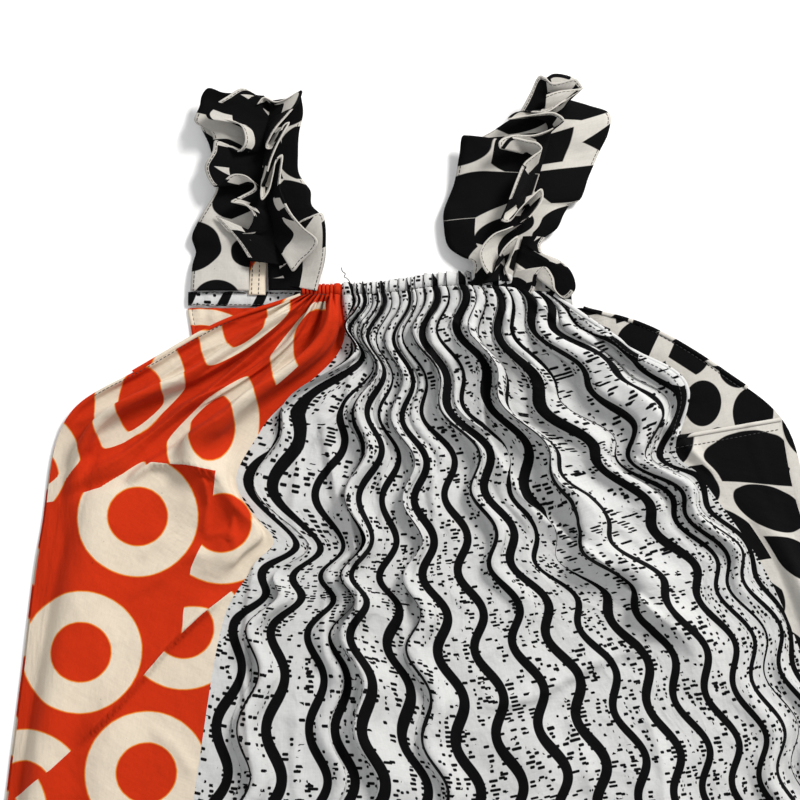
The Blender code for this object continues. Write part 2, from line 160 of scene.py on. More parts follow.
# The gathers' crests among the wave print's lines, and the share of the cloth between them that
# each depth hides.
GATHER_LINES = (
    -0.2, 0.5, 1.1, 2.1, 2.6, 3.5, 4.1, 5.0, 5.6, 6.2, 7.5, 8.1, 8.6, 9.2, 10.3, 11.0, 11.6, 12.2,
    13.0, 13.6, 14.3, 15.4, 16.0, 16.5, 17.2, 18.0, 18.5, 19.1, 19.6, 20.2,
)
HIDE_DEPTHS = (0, 0.057, 0.109, 0.161, 0.239, 0.317, 0.56)
HIDE_SHARES = (0.95, 0.85, 0.50, 0.32, 0.16, 0.10, 0.05)
WAVE_REPEAT = 0.052
WAVE_SWING = 0.0065
WAVE_START = 0.005
# The folds' height over what the list gives, and how much of it is missing at the neck.
FOLD_DEPTH = 1.2
NECK_FLATNESS = 0.55
NECK_REACH = 0.02
# The shares of a fold's length over which it rises and sinks.
FOLD_RISES = 0.25
FOLD_SINKS = 0.35
# How much a slope narrows the cloth seen from above, and what the orange fan and a tuck hide.
SLOPE_NARROWS = 1.25
FAN_HIDES = 0.86
FAN_REACH = 0.030
TUCK_HIDES = 0.965
CASING_LIFT = 0.0036
LIFT_FADE = 0.045
# The front casing along X: its middle line and its half width, in mm. The strips' cloth is turned
# over its elastic; each row of that turn is at a share of the half width from the middle.
FRONT_CASING = (
    (-81, -3.4, 4.0),
    (-54, -2.9, 4.2),
    (-18, 0.0, 4.6),
    (0, 3.0, 4.7),
    (20, 4.4, 4.8),
    (50, 4.2, 4.8),
    (86, 0.5, 4.6),
)
FRONT_CASING_LOW = BACK_WALL * 2 + GAP + 0.0014
FRONT_CASING_HEIGHT = 0.0042
TURN_ROWS = (0.92, 0.75, 0.5, 0.2, -0.1, -0.4, -0.65, -0.85, -0.97)
PUCKER = 0.0020

# The neck's middle on the photograph, which is 800 units square, and the mm that a unit stands for
# across it and down it.
NECK_SEEN = (425, 285)
UNIT_ACROSS = 0.65
UNIT_DOWN = 0.655


def seen(x, y):
    """Metres from the neck's middle of a place on the photograph."""
    return np.array([(x - NECK_SEEN[0]) * UNIT_ACROSS, (NECK_SEEN[1] - y) * UNIT_DOWN]) * MM


def smooth(knots, values, at):
    """A cubic through the values at the knots, with slopes taken from each knot's neighbours."""
    knots = np.asarray(knots, float)
    values = np.asarray(values, float)
    at = np.asarray(at, float)
    slopes = np.gradient(values, knots, axis=0)
    i = np.clip(np.searchsorted(knots, at, side="right") - 1, 0, len(knots) - 2)
    width = knots[i + 1] - knots[i]
    t = (at - knots[i]) / width
    shape = t.shape + (1,) * (values.ndim - 1)
    t = t.reshape(shape)
    width = width.reshape(shape)
    return (
        values[i] * (1 + 2 * t) * (1 - t) ** 2
        + slopes[i] * width * t * (1 - t) ** 2
        + values[i + 1] * t * t * (3 - 2 * t)
        - slopes[i + 1] * width * t * t * (1 - t)
    )


def ease(x):
    x = np.clip(x, 0, 1)
    return x * x * (3 - 2 * x)


def gather_phase(u):
    """Turns of the gathers up to a place across the cloth, uneven as the drawn elastic leaves them."""
    places = [SEAM_LEFT - GATHER * number for number in range(12, 0, -1)]
    places += [line(number) for number in GATHER_LINES]
    places += [SEAM_RIGHT + GATHER * number for number in range(1, 9)]
    return np.interp(u, places, np.arange(len(places)))


def uneven(number, seed):
    """A fixed irregular share from 0 to 1 for each whole number."""
    return np.modf(np.abs(np.sin(number * 12.9898 + seed * 78.233)) * 43758.5453)[0]


def gathers(u, v):
    """Height of the gathers, each one with its own strength and its own reach down the cloth."""
    phase = gather_phase(u)
    number = np.floor(phase + 0.5)
    crest = 0.5 + 0.5 * np.cos(2 * np.pi * phase)
    reach = GATHER_REACH + GATHER_REACH_MORE * uneven(number, 1) ** 2
    strength = GATHER_WEAKEST + 0.5 * uneven(number, 2)
    return crest * strength * np.exp(-np.maximum(v, 0) / reach), crest


def relief(u, v):
    """Height of the front's cloth above its lowest lie, over the flat place (u, v)."""
    height = 0 * u
    for from_u, from_v, to_u, to_v, rise, left, right in FOLDS:
        along = (v - from_v) / (to_v - from_v)
        crest = from_u + (to_u - from_u) * along
        taper = ease(along / FOLD_RISES) * ease((1 - along) / FOLD_SINKS)
        away = u - crest
        reach = np.where(away < 0, left, right)
        height = height + rise * taper * 0.5 * (1 + np.cos(np.pi * np.clip(away / reach, -1, 1)))
    height = height * FOLD_DEPTH * (1 - NECK_FLATNESS * math.exp(-max(v, 0) / NECK_REACH))
    height = height + GATHER_HEIGHT * gathers(u, v)[0]
    return height + CASING_LIFT * math.exp(-((max(v, 0) / LIFT_FADE) ** 2))


# Where the orange strip's loose fold drops over the wave strip, its seam swings out and back: the
# depth of each swing, its reach down the cloth, and how far it goes, X in mm.
SEAM_SWINGS = ((0.140, 0.014, -12), (0.168, 0.010, 9))


def seam_sway(v):
    """How far the orange strip's seam swings at one depth, X in mm."""
    return sum(far * math.exp(-(((v - depth) / reach) ** 2)) for depth, reach, far in SEAM_SWINGS)


def threads_at(v, right_side):
    """Flat places of the threads, and where they lie at one depth."""
    places = [thread[0] for thread in THREADS]
    spots = [smooth(DEPTHS, np.transpose(thread[1:]), v) for thread in THREADS]
    spots[2] = spots[2] + np.array([seam_sway(v), 0])
    if right_side:
        places.append(SIDE_RIGHT)
        spots.append(smooth(SIDE_DEPTHS, np.transpose(SIDE_EDGE), v))
    return np.array(places), np.array(spots) * MM


def front_row(u, v, right_side=False):
    """Where one row of the front lies. Steep cloth and the gathers' valleys take less room across."""
    places, spots = threads_at(v, right_side)
    fine = np.linspace(places[0], places[-1], 4000)
    slope = np.gradient(relief(fine, v), fine)
    valley = 1 - gathers(fine, v)[1] ** 3
    in_wave = ease((fine - SEAM_LEFT) / 0.01)
    fan_hidden = FAN_HIDES * (1 - gathers(fine, v)[1]) * math.exp(-max(v, 0) / FAN_REACH)
    hidden = fan_hidden + (np.interp(v, HIDE_DEPTHS, HIDE_SHARES) * valley - fan_hidden) * in_wave
    for numbers, widths in TUCKS:
        middle = line(np.interp(v, TUCK_DEPTHS, numbers))
        half = np.interp(v, TUCK_DEPTHS, widths) * MM / 2
        inside = ease((half - np.abs(fine - middle)) / TUCK_EDGE + 0.5)
        hidden = hidden + (TUCK_HIDES - hidden) * inside * ease(half / 0.002)
    across = np.cumsum((1 - hidden) * np.sqrt(np.clip(1 - (SLOPE_NARROWS * slope) ** 2, 0.04, 1)))
    marks = np.interp(places, fine, across)
    swing = WAVE_SWING * math.cos(2 * math.pi * (v - WAVE_START) / WAVE_REPEAT)
    swing = swing * ease((u - SEAM_LEFT) / 0.03) * ease((SEAM_RIGHT - u) / 0.03)
    number = np.interp(np.interp(u - swing, fine, across), marks, np.arange(len(places)))
    spot = smooth(np.arange(len(places)), spots, number)
    spot[:, 0] += SWING_SHOWN * swing
    return np.column_stack([spot, CLOTH_LOW + relief(u - swing, v)])


CREASE_FADES = 0.18


def crease_height(spots, path, left, right, sharp):
    """Share of a crease's full height at each spot: 1 along its path, 0 at its reach to each side."""
    best = np.zeros(len(spots))
    lengths = [np.linalg.norm(b - a) for a, b in zip(path, path[1:])]
    total = sum(lengths)
    gone = 0
    for (a, b), length in zip(zip(path, path[1:]), lengths):
        way = (b - a) / length
        away = spots - a
        along = np.clip(away @ way, 0, length)
        off = away - along[:, None] * way
        side = way[0] * off[:, 1] - way[1] * off[:, 0]
        distance = np.hypot(off[:, 0], off[:, 1]) / np.where(side > 0, right, left)
        near = np.clip(1 - distance, 0, 1)
        shape = near**2 * (sharp + (1 - sharp) * (3 - 2 * near))
        share = (gone + along) / total
        ends = ease(share / CREASE_FADES) * ease((1 - share) / CREASE_FADES)
        best = np.maximum(best, shape * ends)
        gone += length
    return best


# Creases placed one by one: points along each, its height in mm (a trough is negative), and its
# reach in mm to the left and right of the way that it runs, and how sharp it is.
CREASES = (
    (
        ((355, 330), (345, 410), (323, 430), (338, 500), (350, 515), (359, 570), (357, 670), (350, 713),
         (350, 790)), 3.0, 4, 13, 0.8,
    ),
    (((384, 340), (380, 430), (383, 535)), 1.8, 5, 7, 0.8),
    (((410, 567), (402, 620), (405, 671)), 2.4, 6, 5, 0.7),
    (((327, 562), (325, 620), (327, 671)), 1.6, 5, 5, 0.7),
    (((262, 530), (250, 600), (245, 666), (258, 783)), 2.8, 4, 9, 0.8),
    (
        ((469, 289), (482, 373), (483, 425), (502, 468), (533, 511), (600, 565), (654, 616), (698, 640)),
        4.5, 16, 5, 0.8,
    ),
    (((533, 342), (557, 373), (595, 425), (637, 460), (669, 500), (705, 540)), -3.0, 8, 8, 0.5),
    (((585, 340), (602, 360), (637, 396), (681, 440), (720, 480)), 3.6, 12, 6, 0.8),
    (
        ((705, 615), (659, 612), (640, 630), (631, 647), (595, 658), (571, 671), (533, 692), (499, 701),
         (470, 702)), 3.0, 14, 7, 0.8,
    ),
    (((430, 300), (432, 345), (428, 380)), 2.0, 4, 5, 0.7),
    (((352, 300), (366, 330), (372, 352)), 1.8, 4, 4, 0.7),
    (((445, 315), (462, 328), (476, 330)), 1.8, 4, 4, 0.9),
    (((497, 300), (520, 345), (560, 400)), 2.2, 5, 7, 0.7),
    (((520, 292), (560, 322), (600, 350)), 2.4, 5, 7, 0.7),
    (((300, 430), (296, 480), (290, 540)), 1.5, 6, 7, 0.6),
    (((420, 430), (432, 480), (436, 540)), 1.4, 6, 6, 0.6),
    (((560, 470), (610, 520), (660, 560)), 1.4, 6, 7, 0.6),
    (((440, 690), (446, 740), (450, 800)), 1.8, 8, 8, 0.6),
    (((560, 700), (580, 750), (590, 800)), 1.8, 9, 9, 0.6),
    (((640, 700), (655, 750), (660, 810)), 1.6, 8, 9, 0.6),
    (((300, 700), (296, 750), (300, 800)), 1.6, 7, 8, 0.6),
)
CREASE_DEPTH = 1.5


def creased(spots, creases):
    """Height in metres that the creases add at each spot of the cloth."""
    added = np.zeros(len(spots))
    for points, height, left, right, sharp in creases:
        path = [seen(*point) for point in points]
        shape = crease_height(spots, path, left * MM, right * MM, sharp)
        added += CREASE_DEPTH * height * MM * shape
    return added


def crumple(spots):
    """Shallow uneven waves of worn cotton, in metres."""
    x = spots[:, 0] / MM
    y = spots[:, 1] / MM
    wave = np.sin(x / 17 + 1.7 * np.sin(y / 31)) * np.sin(y / 23 + 1.3 * np.sin(x / 37))
    ripple = np.sin(x / 7.3 + y / 19 + 1.5 * np.sin(y / 13)) * np.sin(y / 29 - x / 41)
    return (0.00045 * wave + 0.00022 * ripple).astype(float)


def cloth_grid(name, places, flats):
    """A sheet of cloth through rows of places, with the flat cloth's metres as its UV map."""
    rows, columns = places.shape[:2]
    mesh = bpy.data.meshes.new(name)
    number = np.arange(rows * columns).reshape(rows, columns)
    corners = [number[:-1, :-1], number[1:, :-1], number[1:, 1:], number[:-1, 1:]]
    faces = np.stack(corners, axis=-1).reshape(-1, 4)
    mesh.from_pydata(places.reshape(-1, 3).tolist(), [], faces.tolist())
    layer = mesh.uv_layers.new(name="cloth")
    layer.data.foreach_set("uv", flats.reshape(-1, 2)[faces.reshape(-1)].astype(np.float32).ravel())
    mesh.shade_smooth()
    piece = bpy.data.objects.new(name, mesh)
    piece["columns"] = columns
    bpy.context.scene.collection.objects.link(piece)
    return piece


def turned_over(columns, neck_row):
    """Rows of a strip's cloth over its casing, puckered by the elastic, and their flat cloth."""
    table = np.array(FRONT_CASING, float)
    _, middle, half = (smooth(table[:, 0], table, neck_row[:, 0] / MM) * MM).T
    crest = gathers(columns, np.zeros(len(columns)))[1]
    pucker = crest * (0.5 + 0.9 * uneven(np.floor(gather_phase(columns) + 0.5), 5))
    rows, marks = [], []
    for share in TURN_ROWS:
        bow = math.sqrt(1 - share**2)
        y = middle + share * half * (1 + 0.28 * max(share, 0) * (pucker - 0.5))
        z = FRONT_CASING_LOW + FRONT_CASING_HEIGHT * (0.5 + 0.56 * bow) + PUCKER * (0.2 + bow) * pucker
        rows.append(np.column_stack([neck_row[:, 0], y, z]))
        marks.append(np.column_stack([columns, -(share + 1) * half]))
    return np.array(rows), np.array(marks)


def front_cloth(name, columns, depths, creases, right_side=False):
    """One strip of the front over its flat columns and depths, creased, as an object."""
    places = np.array([front_row(columns, v, right_side) for v in depths])
    spots = places[:, :, :2].reshape(-1, 2)
    worn = (creased(spots, creases) + crumple(spots)).reshape(places.shape[:2])
    places[:, :, 2] += np.maximum(worn, 0.6 * (CLOTH_LOW - places[:, :, 2]))
    shown = columns
    if right_side:
        shown = SEAM_RIGHT + SIDE_SHOWN / SIDE_FLAT * (columns - SEAM_RIGHT)
    flats = np.stack(np.meshgrid(shown, depths), axis=-1)
    if depths[0] == 0:
        over, marks = turned_over(columns, places[0])
        places = np.concatenate([over, places])
        flats = np.concatenate([marks, flats])
    return cloth_grid(name, places + NECK, flats)


def down(rows, power=1.35):
    """Depths of the rows of points, closer together near the neck."""
    return np.linspace(0, 1, rows) ** power * LENGTH


WAVE_ROWS = 270
wave_cloth = front_cloth(
    "front_wave_cloth", np.linspace(SEAM_LEFT, SEAM_RIGHT, 350), down(WAVE_ROWS), CREASES
)

HEM_ROLL = 0.0011


def roll_of_cloth(name, edges):
    """Narrow rolled hems along edges of a strip; each edge is its places and its flat cloth."""
    rolls = []
    turns = np.linspace(0, 2 * np.pi, 9)
    for places, flats in edges:
        way = np.gradient(places, axis=0)
        way /= np.linalg.norm(way, axis=1)[:, None]
        aside = np.column_stack([-way[:, 1], way[:, 0], 0 * way[:, 0]])
        aside /= np.linalg.norm(aside, axis=1)[:, None]
        rise = np.cross(way, aside)
        rise *= np.where(rise[:, 2:] < 0, -1, 1)
        rows, marks = [], []
        for turn in turns:
            out = 1.25 * math.cos(turn) * aside + 0.8 * math.sin(turn) * rise
            rows.append(places + HEM_ROLL * (out + np.array([0, 0, 0.25])))
            marks.append(flats + np.array([HEM_ROLL * turn, 0]))
        rolls.append(cloth_grid(name, np.array(rows), np.array(marks)))
    return joined_cloth(name, rolls)


def joined_cloth(name, pieces):
    """One object in place of several pieces of cloth."""
    mesh = bmesh.new()
    for piece in pieces:
        mesh.from_mesh(piece.data)
        bpy.data.objects.remove(piece)
    joined = bpy.data.meshes.new(name)
    mesh.to_mesh(joined)
    mesh.free()
    joined.shade_smooth()
    whole = bpy.data.objects.new(name, joined)
    bpy.context.scene.collection.objects.link(whole)
    return whole


def edge_of(cloth, row, column):
    """Places and flat cloth along one edge of a strip: whole rows or columns of its grid."""
    mesh = cloth.data
    rows = len(mesh.vertices) // cloth["columns"]
    places = np.empty(len(mesh.vertices) * 3, np.float32)
    mesh.vertices.foreach_get("co", places)
    number = np.empty(len(mesh.loops), np.int32)
    mesh.loops.foreach_get("vertex_index", number)
    marks = np.empty(len(mesh.loops) * 2, np.float32)
    mesh.uv_layers["cloth"].data.foreach_get("uv", marks)
    flats = np.zeros((len(mesh.vertices), 2))
    flats[number] = marks.reshape(-1, 2)
    places = places.reshape(rows, -1, 3).astype(float)
    return places[row, column], flats.reshape(rows, -1, 2)[row, column]


def feed(socket, value):
    """Links another node's output to a socket, or sets a plain value on it."""
    if isinstance(value, bpy.types.NodeSocket):
        socket.id_data.links.new(value, socket)
    else:
        socket.default_value = value


def node_for(kind, *values):
    """A new node of a kind, in the node tree that the linked ones of the values belong to."""
    tree = next(value.id_data for value in values if isinstance(value, bpy.types.NodeSocket))
    return tree.nodes.new("ShaderNode" + kind)


def calc(operation, *values):
    """The result of one Math node; each value is a number or another node's output."""
    node = node_for("Math", *values)
    node.operation = operation
    for socket, value in zip(node.inputs, values):
        feed(socket, value)
    return node.outputs[0]


def plus(a, b):
    return calc("ADD", a, b)


def minus(a, b):
    return calc("SUBTRACT", a, b)


def times(a, b):
    return calc("MULTIPLY", a, b)


def divided(a, b):
    return calc("DIVIDE", a, b)


def times_plus(a, b, c):
    return calc("MULTIPLY_ADD", a, b, c)


def far_from(value, middle):
    """How far a value is from a middle, to either side."""
    return calc("ABSOLUTE", minus(value, middle))


def length_of(x, y):
    return calc("SQRT", plus(calc("POWER", x, 2), calc("POWER", y, 2)))


def between(low, value, high):
    return calc("MINIMUM", calc("MAXIMUM", value, low), high)


def ink_where(distance, soft):
    """1 where a distance is below 0, and 0 above, over a soft edge."""
    return between(0, times_plus(distance, -0.5 / soft, 0.5), 1)


def new_group(name, inputs, outputs):
    """An empty shader node group; inputs are (name, kind, value) and outputs (name, kind)."""
    group = bpy.data.node_groups.new(name, "ShaderNodeTree")
    for title, kind, value in inputs:
        socket = group.interface.new_socket(title, in_out="INPUT", socket_type=kind)
        if value is not None:
            socket.default_value = value
    for title, kind in outputs:
        group.interface.new_socket(title, in_out="OUTPUT", socket_type=kind)
    return group, group.nodes.new("NodeGroupInput"), group.nodes.new("NodeGroupOutput")


def parts_of(vector):
    node = node_for("SeparateXYZ", vector)
    feed(node.inputs[0], vector)
    return node.outputs


def noise(vector, scale, detail=2.0, roughness=0.5):
    node = node_for("TexNoise", vector)
    for title, value in (("Vector", vector), ("Scale", scale), ("Detail", detail), ("Roughness", roughness)):
        feed(node.inputs[title], value)
    return node.outputs["Fac"]


def combine(x, y):
    node = node_for("CombineXYZ", x, y)
    feed(node.inputs[0], x)
    feed(node.inputs[1], y)
    return node.outputs[0]


def random_at(x, y):
    """Three random shares for each pair of whole numbers."""
    node = node_for("TexWhiteNoise", x, y)
    node.noise_dimensions = "2D"
    feed(node.inputs["Vector"], combine(x, y))
    split = node_for("SeparateColor", x, y)
    feed(split.inputs[0], node.outputs["Color"])
    return split.outputs


WAVE_THICK = 0.0068
DASH_THICK = 0.0017
DASH_ROW = 0.0026
DASH_HALF = 0.29
DASH_FEWEST = 0.07
CLUSTER_SCALE = 75.0
CLUSTER_GAIN = 3.4
CLUSTER_LEVEL = -1.45
# Each set of dashes: the width of its columns, its seed, and the most of its places that are used.
DASH_SETS = ((0.0087, 1.0, 0.60), (0.0064, 2.0, 0.36))


def dashes(u, v, cell, seed, most):
    """Distance from the nearest of one set of short level dashes, which gather in clusters."""
    columns = times_plus(u, 1 / cell, seed * 7.3)
    column = calc("FLOOR", columns)
    rows = plus(divided(v, DASH_ROW), random_at(column, seed)[0])
    chance, longness, place = random_at(column, plus(calc("FLOOR", rows), seed * 31.0))
    cluster = noise(combine(u, times(v, 0.8)), CLUSTER_SCALE + seed)
    wanted = between(DASH_FEWEST, times_plus(cluster, CLUSTER_GAIN, CLUSTER_LEVEL), most)
    absent = calc("GREATER_THAN", chance, wanted)
    half = times(calc("POWER", longness, 0.9), cell * DASH_HALF)
    off = times(far_from(calc("FRACT", columns), times_plus(place, 0.3, 0.35)), cell)
    off = calc("MAXIMUM", minus(off, half), 0)
    level = times(minus(calc("FRACT", rows), 0.5), DASH_ROW)
    return plus(minus(length_of(off, level), DASH_THICK / 2), absent)


wave_print, given, result = new_group(
    "wave print",
    [("Flat cloth", "NodeSocketVector", None), ("Seam", "NodeSocketFloat", SEAM_LEFT)],
    [("Ink", "NodeSocketFloat")],
)
u, v, _ = parts_of(given.outputs["Flat cloth"])
u = minus(u, given.outputs["Seam"])
turn = times_plus(v, 2 * math.pi / WAVE_REPEAT, -2 * math.pi * WAVE_START / WAVE_REPEAT)
swing = times(calc("COSINE", turn), WAVE_SWING / LINE)
steep = times(calc("SINE", turn), WAVE_SWING * 2 * math.pi / WAVE_REPEAT)
off = far_from(calc("FRACT", minus(divided(u, LINE), swing)), 0.5)
lean = calc("SQRT", plus(calc("POWER", steep, 2), 1))
away = minus(divided(times(off, LINE), lean), WAVE_THICK / 2)
for cell, seed, most in DASH_SETS:
    away = calc("MINIMUM", away, dashes(u, v, cell, seed, most))
feed(result.inputs["Ink"], ink_where(away, 0.00016))

# The cotton's own look, for every print: threads, slubs, dark specks and small pressed creases.
THREAD = 0.00042
WEAVE_HEIGHT = 0.00003
SLUB_THIN = 0.12
SLUB_SCALE = 1100
SLUB_HEIGHT = 0.00005
SLUB_SHADE = 0.16
SHADE_LOW = 0.76
SPECK_SCALE = 420
SPECK_FROM = 0.79
SPECK_DARK = 0.35
CREASE_SCALE = 42.0
CREASE_HEIGHT = 0.0011
DIMPLE_HEIGHT = 0.0016

cotton, given, result = new_group(
    "cotton",
    [("Flat cloth", "NodeSocketVector", None), ("Crumple", "NodeSocketFloat", 1.0)],
    [("Shade", "NodeSocketFloat"), ("Height", "NodeSocketFloat")],
)
flat = given.outputs["Flat cloth"]
u, v, _ = parts_of(flat)
warp = calc("SINE", times(u, 2 * math.pi / THREAD))
weft = calc("SINE", times(v, 2 * math.pi / THREAD))
weave = times(times(warp, weft), WEAVE_HEIGHT)
slub_across = noise(combine(times(u, SLUB_THIN), v), SLUB_SCALE, 3)
slub_down = noise(combine(u, times(v, SLUB_THIN)), SLUB_SCALE, 3)
slubs = plus(plus(slub_across, slub_down), noise(flat, 700, 4, 0.7))
speck = calc("GREATER_THAN", noise(flat, SPECK_SCALE, 1), SPECK_FROM)
shade = minus(times_plus(slubs, SLUB_SHADE, SHADE_LOW), times(speck, SPECK_DARK))
feed(result.inputs["Shade"], shade)
facets = node_for("TexVoronoi", flat)
facets.inputs["Scale"].default_value = CREASE_SCALE
bend = times(noise(flat, 30, 2), 0.02)
feed(facets.inputs["Vector"], combine(plus(u, bend), minus(v, bend)))
pressed = plus(times(facets.outputs["Distance"], CREASE_HEIGHT), times(noise(flat, 55, 3), DIMPLE_HEIGHT))
pressed = times(pressed, given.outputs["Crumple"])
feed(result.inputs["Height"], plus(plus(weave, times(slubs, SLUB_HEIGHT)), pressed))


def use_group(group, **values):
    """The outputs of a group's node in a material, with its named inputs set or linked."""
    node = node_for("Group", *values.values())
    node.node_tree = group
    for title, value in values.items():
        feed(node.inputs[title.replace("_", " ")], value)
    return node.outputs


def mix_colour(share, below, above, blend="MIX"):
    node = node_for("Mix", share, below, above)
    node.data_type = "RGBA"
    node.blend_type = blend
    feed(node.inputs[0], share)
    feed(node.inputs[6], below)
    feed(node.inputs[7], above)
    return node.outputs[2]


def uv_of(tree, name):
    node = tree.nodes.new("ShaderNodeUVMap")
    node.uv_map = name
    return node.outputs["UV"]


def bumped(height, distance):
    node = node_for("Bump", height)
    node.inputs["Distance"].default_value = distance
    feed(node.inputs["Height"], height)
    return node.outputs["Normal"]


def cotton_material(name, colour_of, crumple=1.0):
    """Matt cotton; colour_of(flat) gives the printed colour at the flat cloth's place."""
    material = bpy.data.materials.new(name)
    material.use_nodes = True
    flat = uv_of(material.node_tree, "cloth")
    look = use_group(cotton, Flat_cloth=flat, Crumple=crumple)
    for title, value in (
        ("Base Color", mix_colour(1.0, colour_of(flat), look["Shade"], "MULTIPLY")),
        ("Normal", bumped(look["Height"], 1.0)),
        ("Roughness", 0.82),
        ("Specular IOR Level", 0.06),
        ("Sheen Weight", 0.008),
        ("Sheen Roughness", 0.5),
    ):
        feed(material.node_tree.nodes["Principled BSDF"].inputs[title], value)
    return material


BLACK = (0.0018, 0.0018, 0.0022, 1)
OFF_WHITE = (0.495, 0.498, 0.495, 1)


def wave_colour(flat):
    return mix_colour(use_group(wave_print, Flat_cloth=flat)["Ink"], OFF_WHITE, BLACK)


def armhole(rows):
    """The rows of a front strip's grid along its armhole, from the casing down."""
    return slice(len(TURN_ROWS), len(TURN_ROWS) + int(np.searchsorted(down(rows), ARMPIT_DEPTH)) + 1)


wave_cotton = cotton_material("wave print cotton", wave_colour, crumple=1.6)
wave_cloth.data.materials.append(wave_cotton)
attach(wave_cloth, "root")
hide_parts("front_center_panel")
wave_edges = [edge_of(wave_cloth, armhole(WAVE_ROWS), -1), edge_of(wave_cloth, -1, slice(None))]
wave_hems = roll_of_cloth("front_wave_hems", wave_edges)
wave_hems.data.materials.append(wave_cotton)
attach(wave_hems, "root")


# The front's orange strip is the same cotton, printed with large cream rings and sewn to the wave
# strip. Its left edge is the armhole, and a loose fold of it drops over the wave strip.
ORANGE_CREASES = (
    (((330, 296), (262, 327), (200, 352), (124, 404), (60, 430)), 3.4, 6, 16, 0.8),
    (((318, 300), (250, 345), (206, 373), (124, 440), (60, 470)), -4.2, 7, 8, 0.6),
    (((322, 300), (255, 352), (212, 388), (124, 456), (60, 494)), 3.0, 4, 6, 0.8),
    (((315, 303), (258, 365), (206, 403), (124, 476), (60, 500)), -4.2, 6, 8, 0.6),
    (((326, 310), (280, 362), (225, 420), (170, 452), (124, 478)), 2.8, 5, 16, 0.8),
    (((124, 487), (153, 465), (185, 466), (230, 480)), 3.4, 4, 18, 0.8),
    (((232, 590), (205, 612), (175, 640), (148, 672), (124, 700), (80, 745)), 4.6, 22, 3, 0.8),
    (((205, 473), (210, 505), (205, 538)), 1.8, 5, 4, 0.9),
    (((236, 500), (233, 535), (240, 552)), 1.4, 4, 4, 0.9),
    (((205, 536), (225, 532), (243, 540)), 1.4, 4, 4, 0.9),
    (((140, 560), (180, 520), (200, 490)), 1.0, 8, 9, 0.9),
    (((128, 600), (190, 555), (215, 545)), 1.2, 9, 9, 0.8),
    (((150, 720), (180, 740), (200, 770)), 1.2, 8, 8, 0.7),
)
RING_SPACING = 0.094
RING_COLUMNS = 0.092
RING_OUTER = 0.0387
RING_INNER = 0.0190
RING_RIM = 0.0007
RAGGED = 0.0005
RAGGED_SCALE = 260

ORANGE_ROWS = 250
orange_cloth = front_cloth(
    "front_orange_cloth", np.linspace(0, SEAM_LEFT, 170), down(ORANGE_ROWS), ORANGE_CREASES
)

# The folds across the strip, past which another part of the print shows: the foot of the fan of
# gathers, the edge of the loose fold below it, and the side of the small pocket in that fold.
FAN_FOOT = ((-200, 540), (60, 500), (124, 481), (153, 463), (185, 466), (215, 472), (400, 474))
LOOSE_EDGE = ((-200, 960), (60, 762), (124, 700), (148, 672), (175, 640), (205, 612), (232, 590), (400, 520))
POCKET_SIDE = ((470, 218), (500, 214), (540, 205), (566, 193), (610, 186))
VALLEYS = (
    (((318, 300), (250, 345), (206, 373), (124, 440), (60, 478), (-60, 540)), 0.022),
    (((315, 303), (258, 365), (206, 403), (124, 476), (60, 520), (-60, 580)), 0.027),
)
VALLEY_WIDE = 0.006


def below(points, x, y):
    """How far below a line across the photograph each place lies, in metres."""
    points = sorted(points)
    slopes = np.gradient([p[1] for p in points], [p[0] for p in points])
    lean = np.hypot(1, np.interp(x, [p[0] for p in points], slopes))
    return (y - np.interp(x, [p[0] for p in points], [p[1] for p in points])) * UNIT_DOWN * MM / lean


def mark(piece, name, values):
    """Another UV map on a piece, from two values for each point."""
    layer = piece.data.uv_layers.new(name=name)
    number = np.empty(len(piece.data.loops), np.int32)
    piece.data.loops.foreach_get("vertex_index", number)
    layer.data.foreach_set("uv", values[number].astype(np.float32).ravel())


def lie_of(piece):
    """Where each point of a piece lies, as metres from the neck's middle, and on the photograph."""
    places = np.empty(len(piece.data.vertices) * 3, np.float32)
    piece.data.vertices.foreach_get("co", places)
    spots = places.reshape(-1, 3)[:, :2].astype(float) - NECK[:2]
    x = spots[:, 0] / (UNIT_ACROSS * MM) + NECK_SEEN[0]
    y = NECK_SEEN[1] - spots[:, 1] / (UNIT_DOWN * MM)
    return spots, x, y


# The fan's print starts at a ring's middle on the photograph and runs down to the left, a little
# stretched and leaning.
FAN_STRETCH = 1.089
FAN_LEAN = 0.447
FAN_START = (244, 318)
FAN_WAY = np.array([-0.776, -0.630])
FAN_ACROSS = np.array([0.630, -0.776])

spots, x, y = lie_of(orange_cloth)
away = spots - seen(*FAN_START)
along = away @ FAN_WAY
squeezed = away @ FAN_ACROSS
across = squeezed
for valley, hidden in VALLEYS:
    across = across + hidden * ease(0.5 + below(valley, x, y) / VALLEY_WIDE)
mark(orange_cloth, "fan", np.column_stack([across, FAN_STRETCH * along - FAN_LEAN * squeezed]))
mark(orange_cloth, "lie", spots)
mark(orange_cloth, "folds", np.column_stack([below(FAN_FOOT, x, y), below(LOOSE_EDGE, x, y)]))
side = x - np.interp(y, [p[0] for p in POCKET_SIDE], [p[1] for p in POCKET_SIDE])
mark(orange_cloth, "pocket", np.column_stack([side * UNIT_ACROSS * MM, 0 * side]))

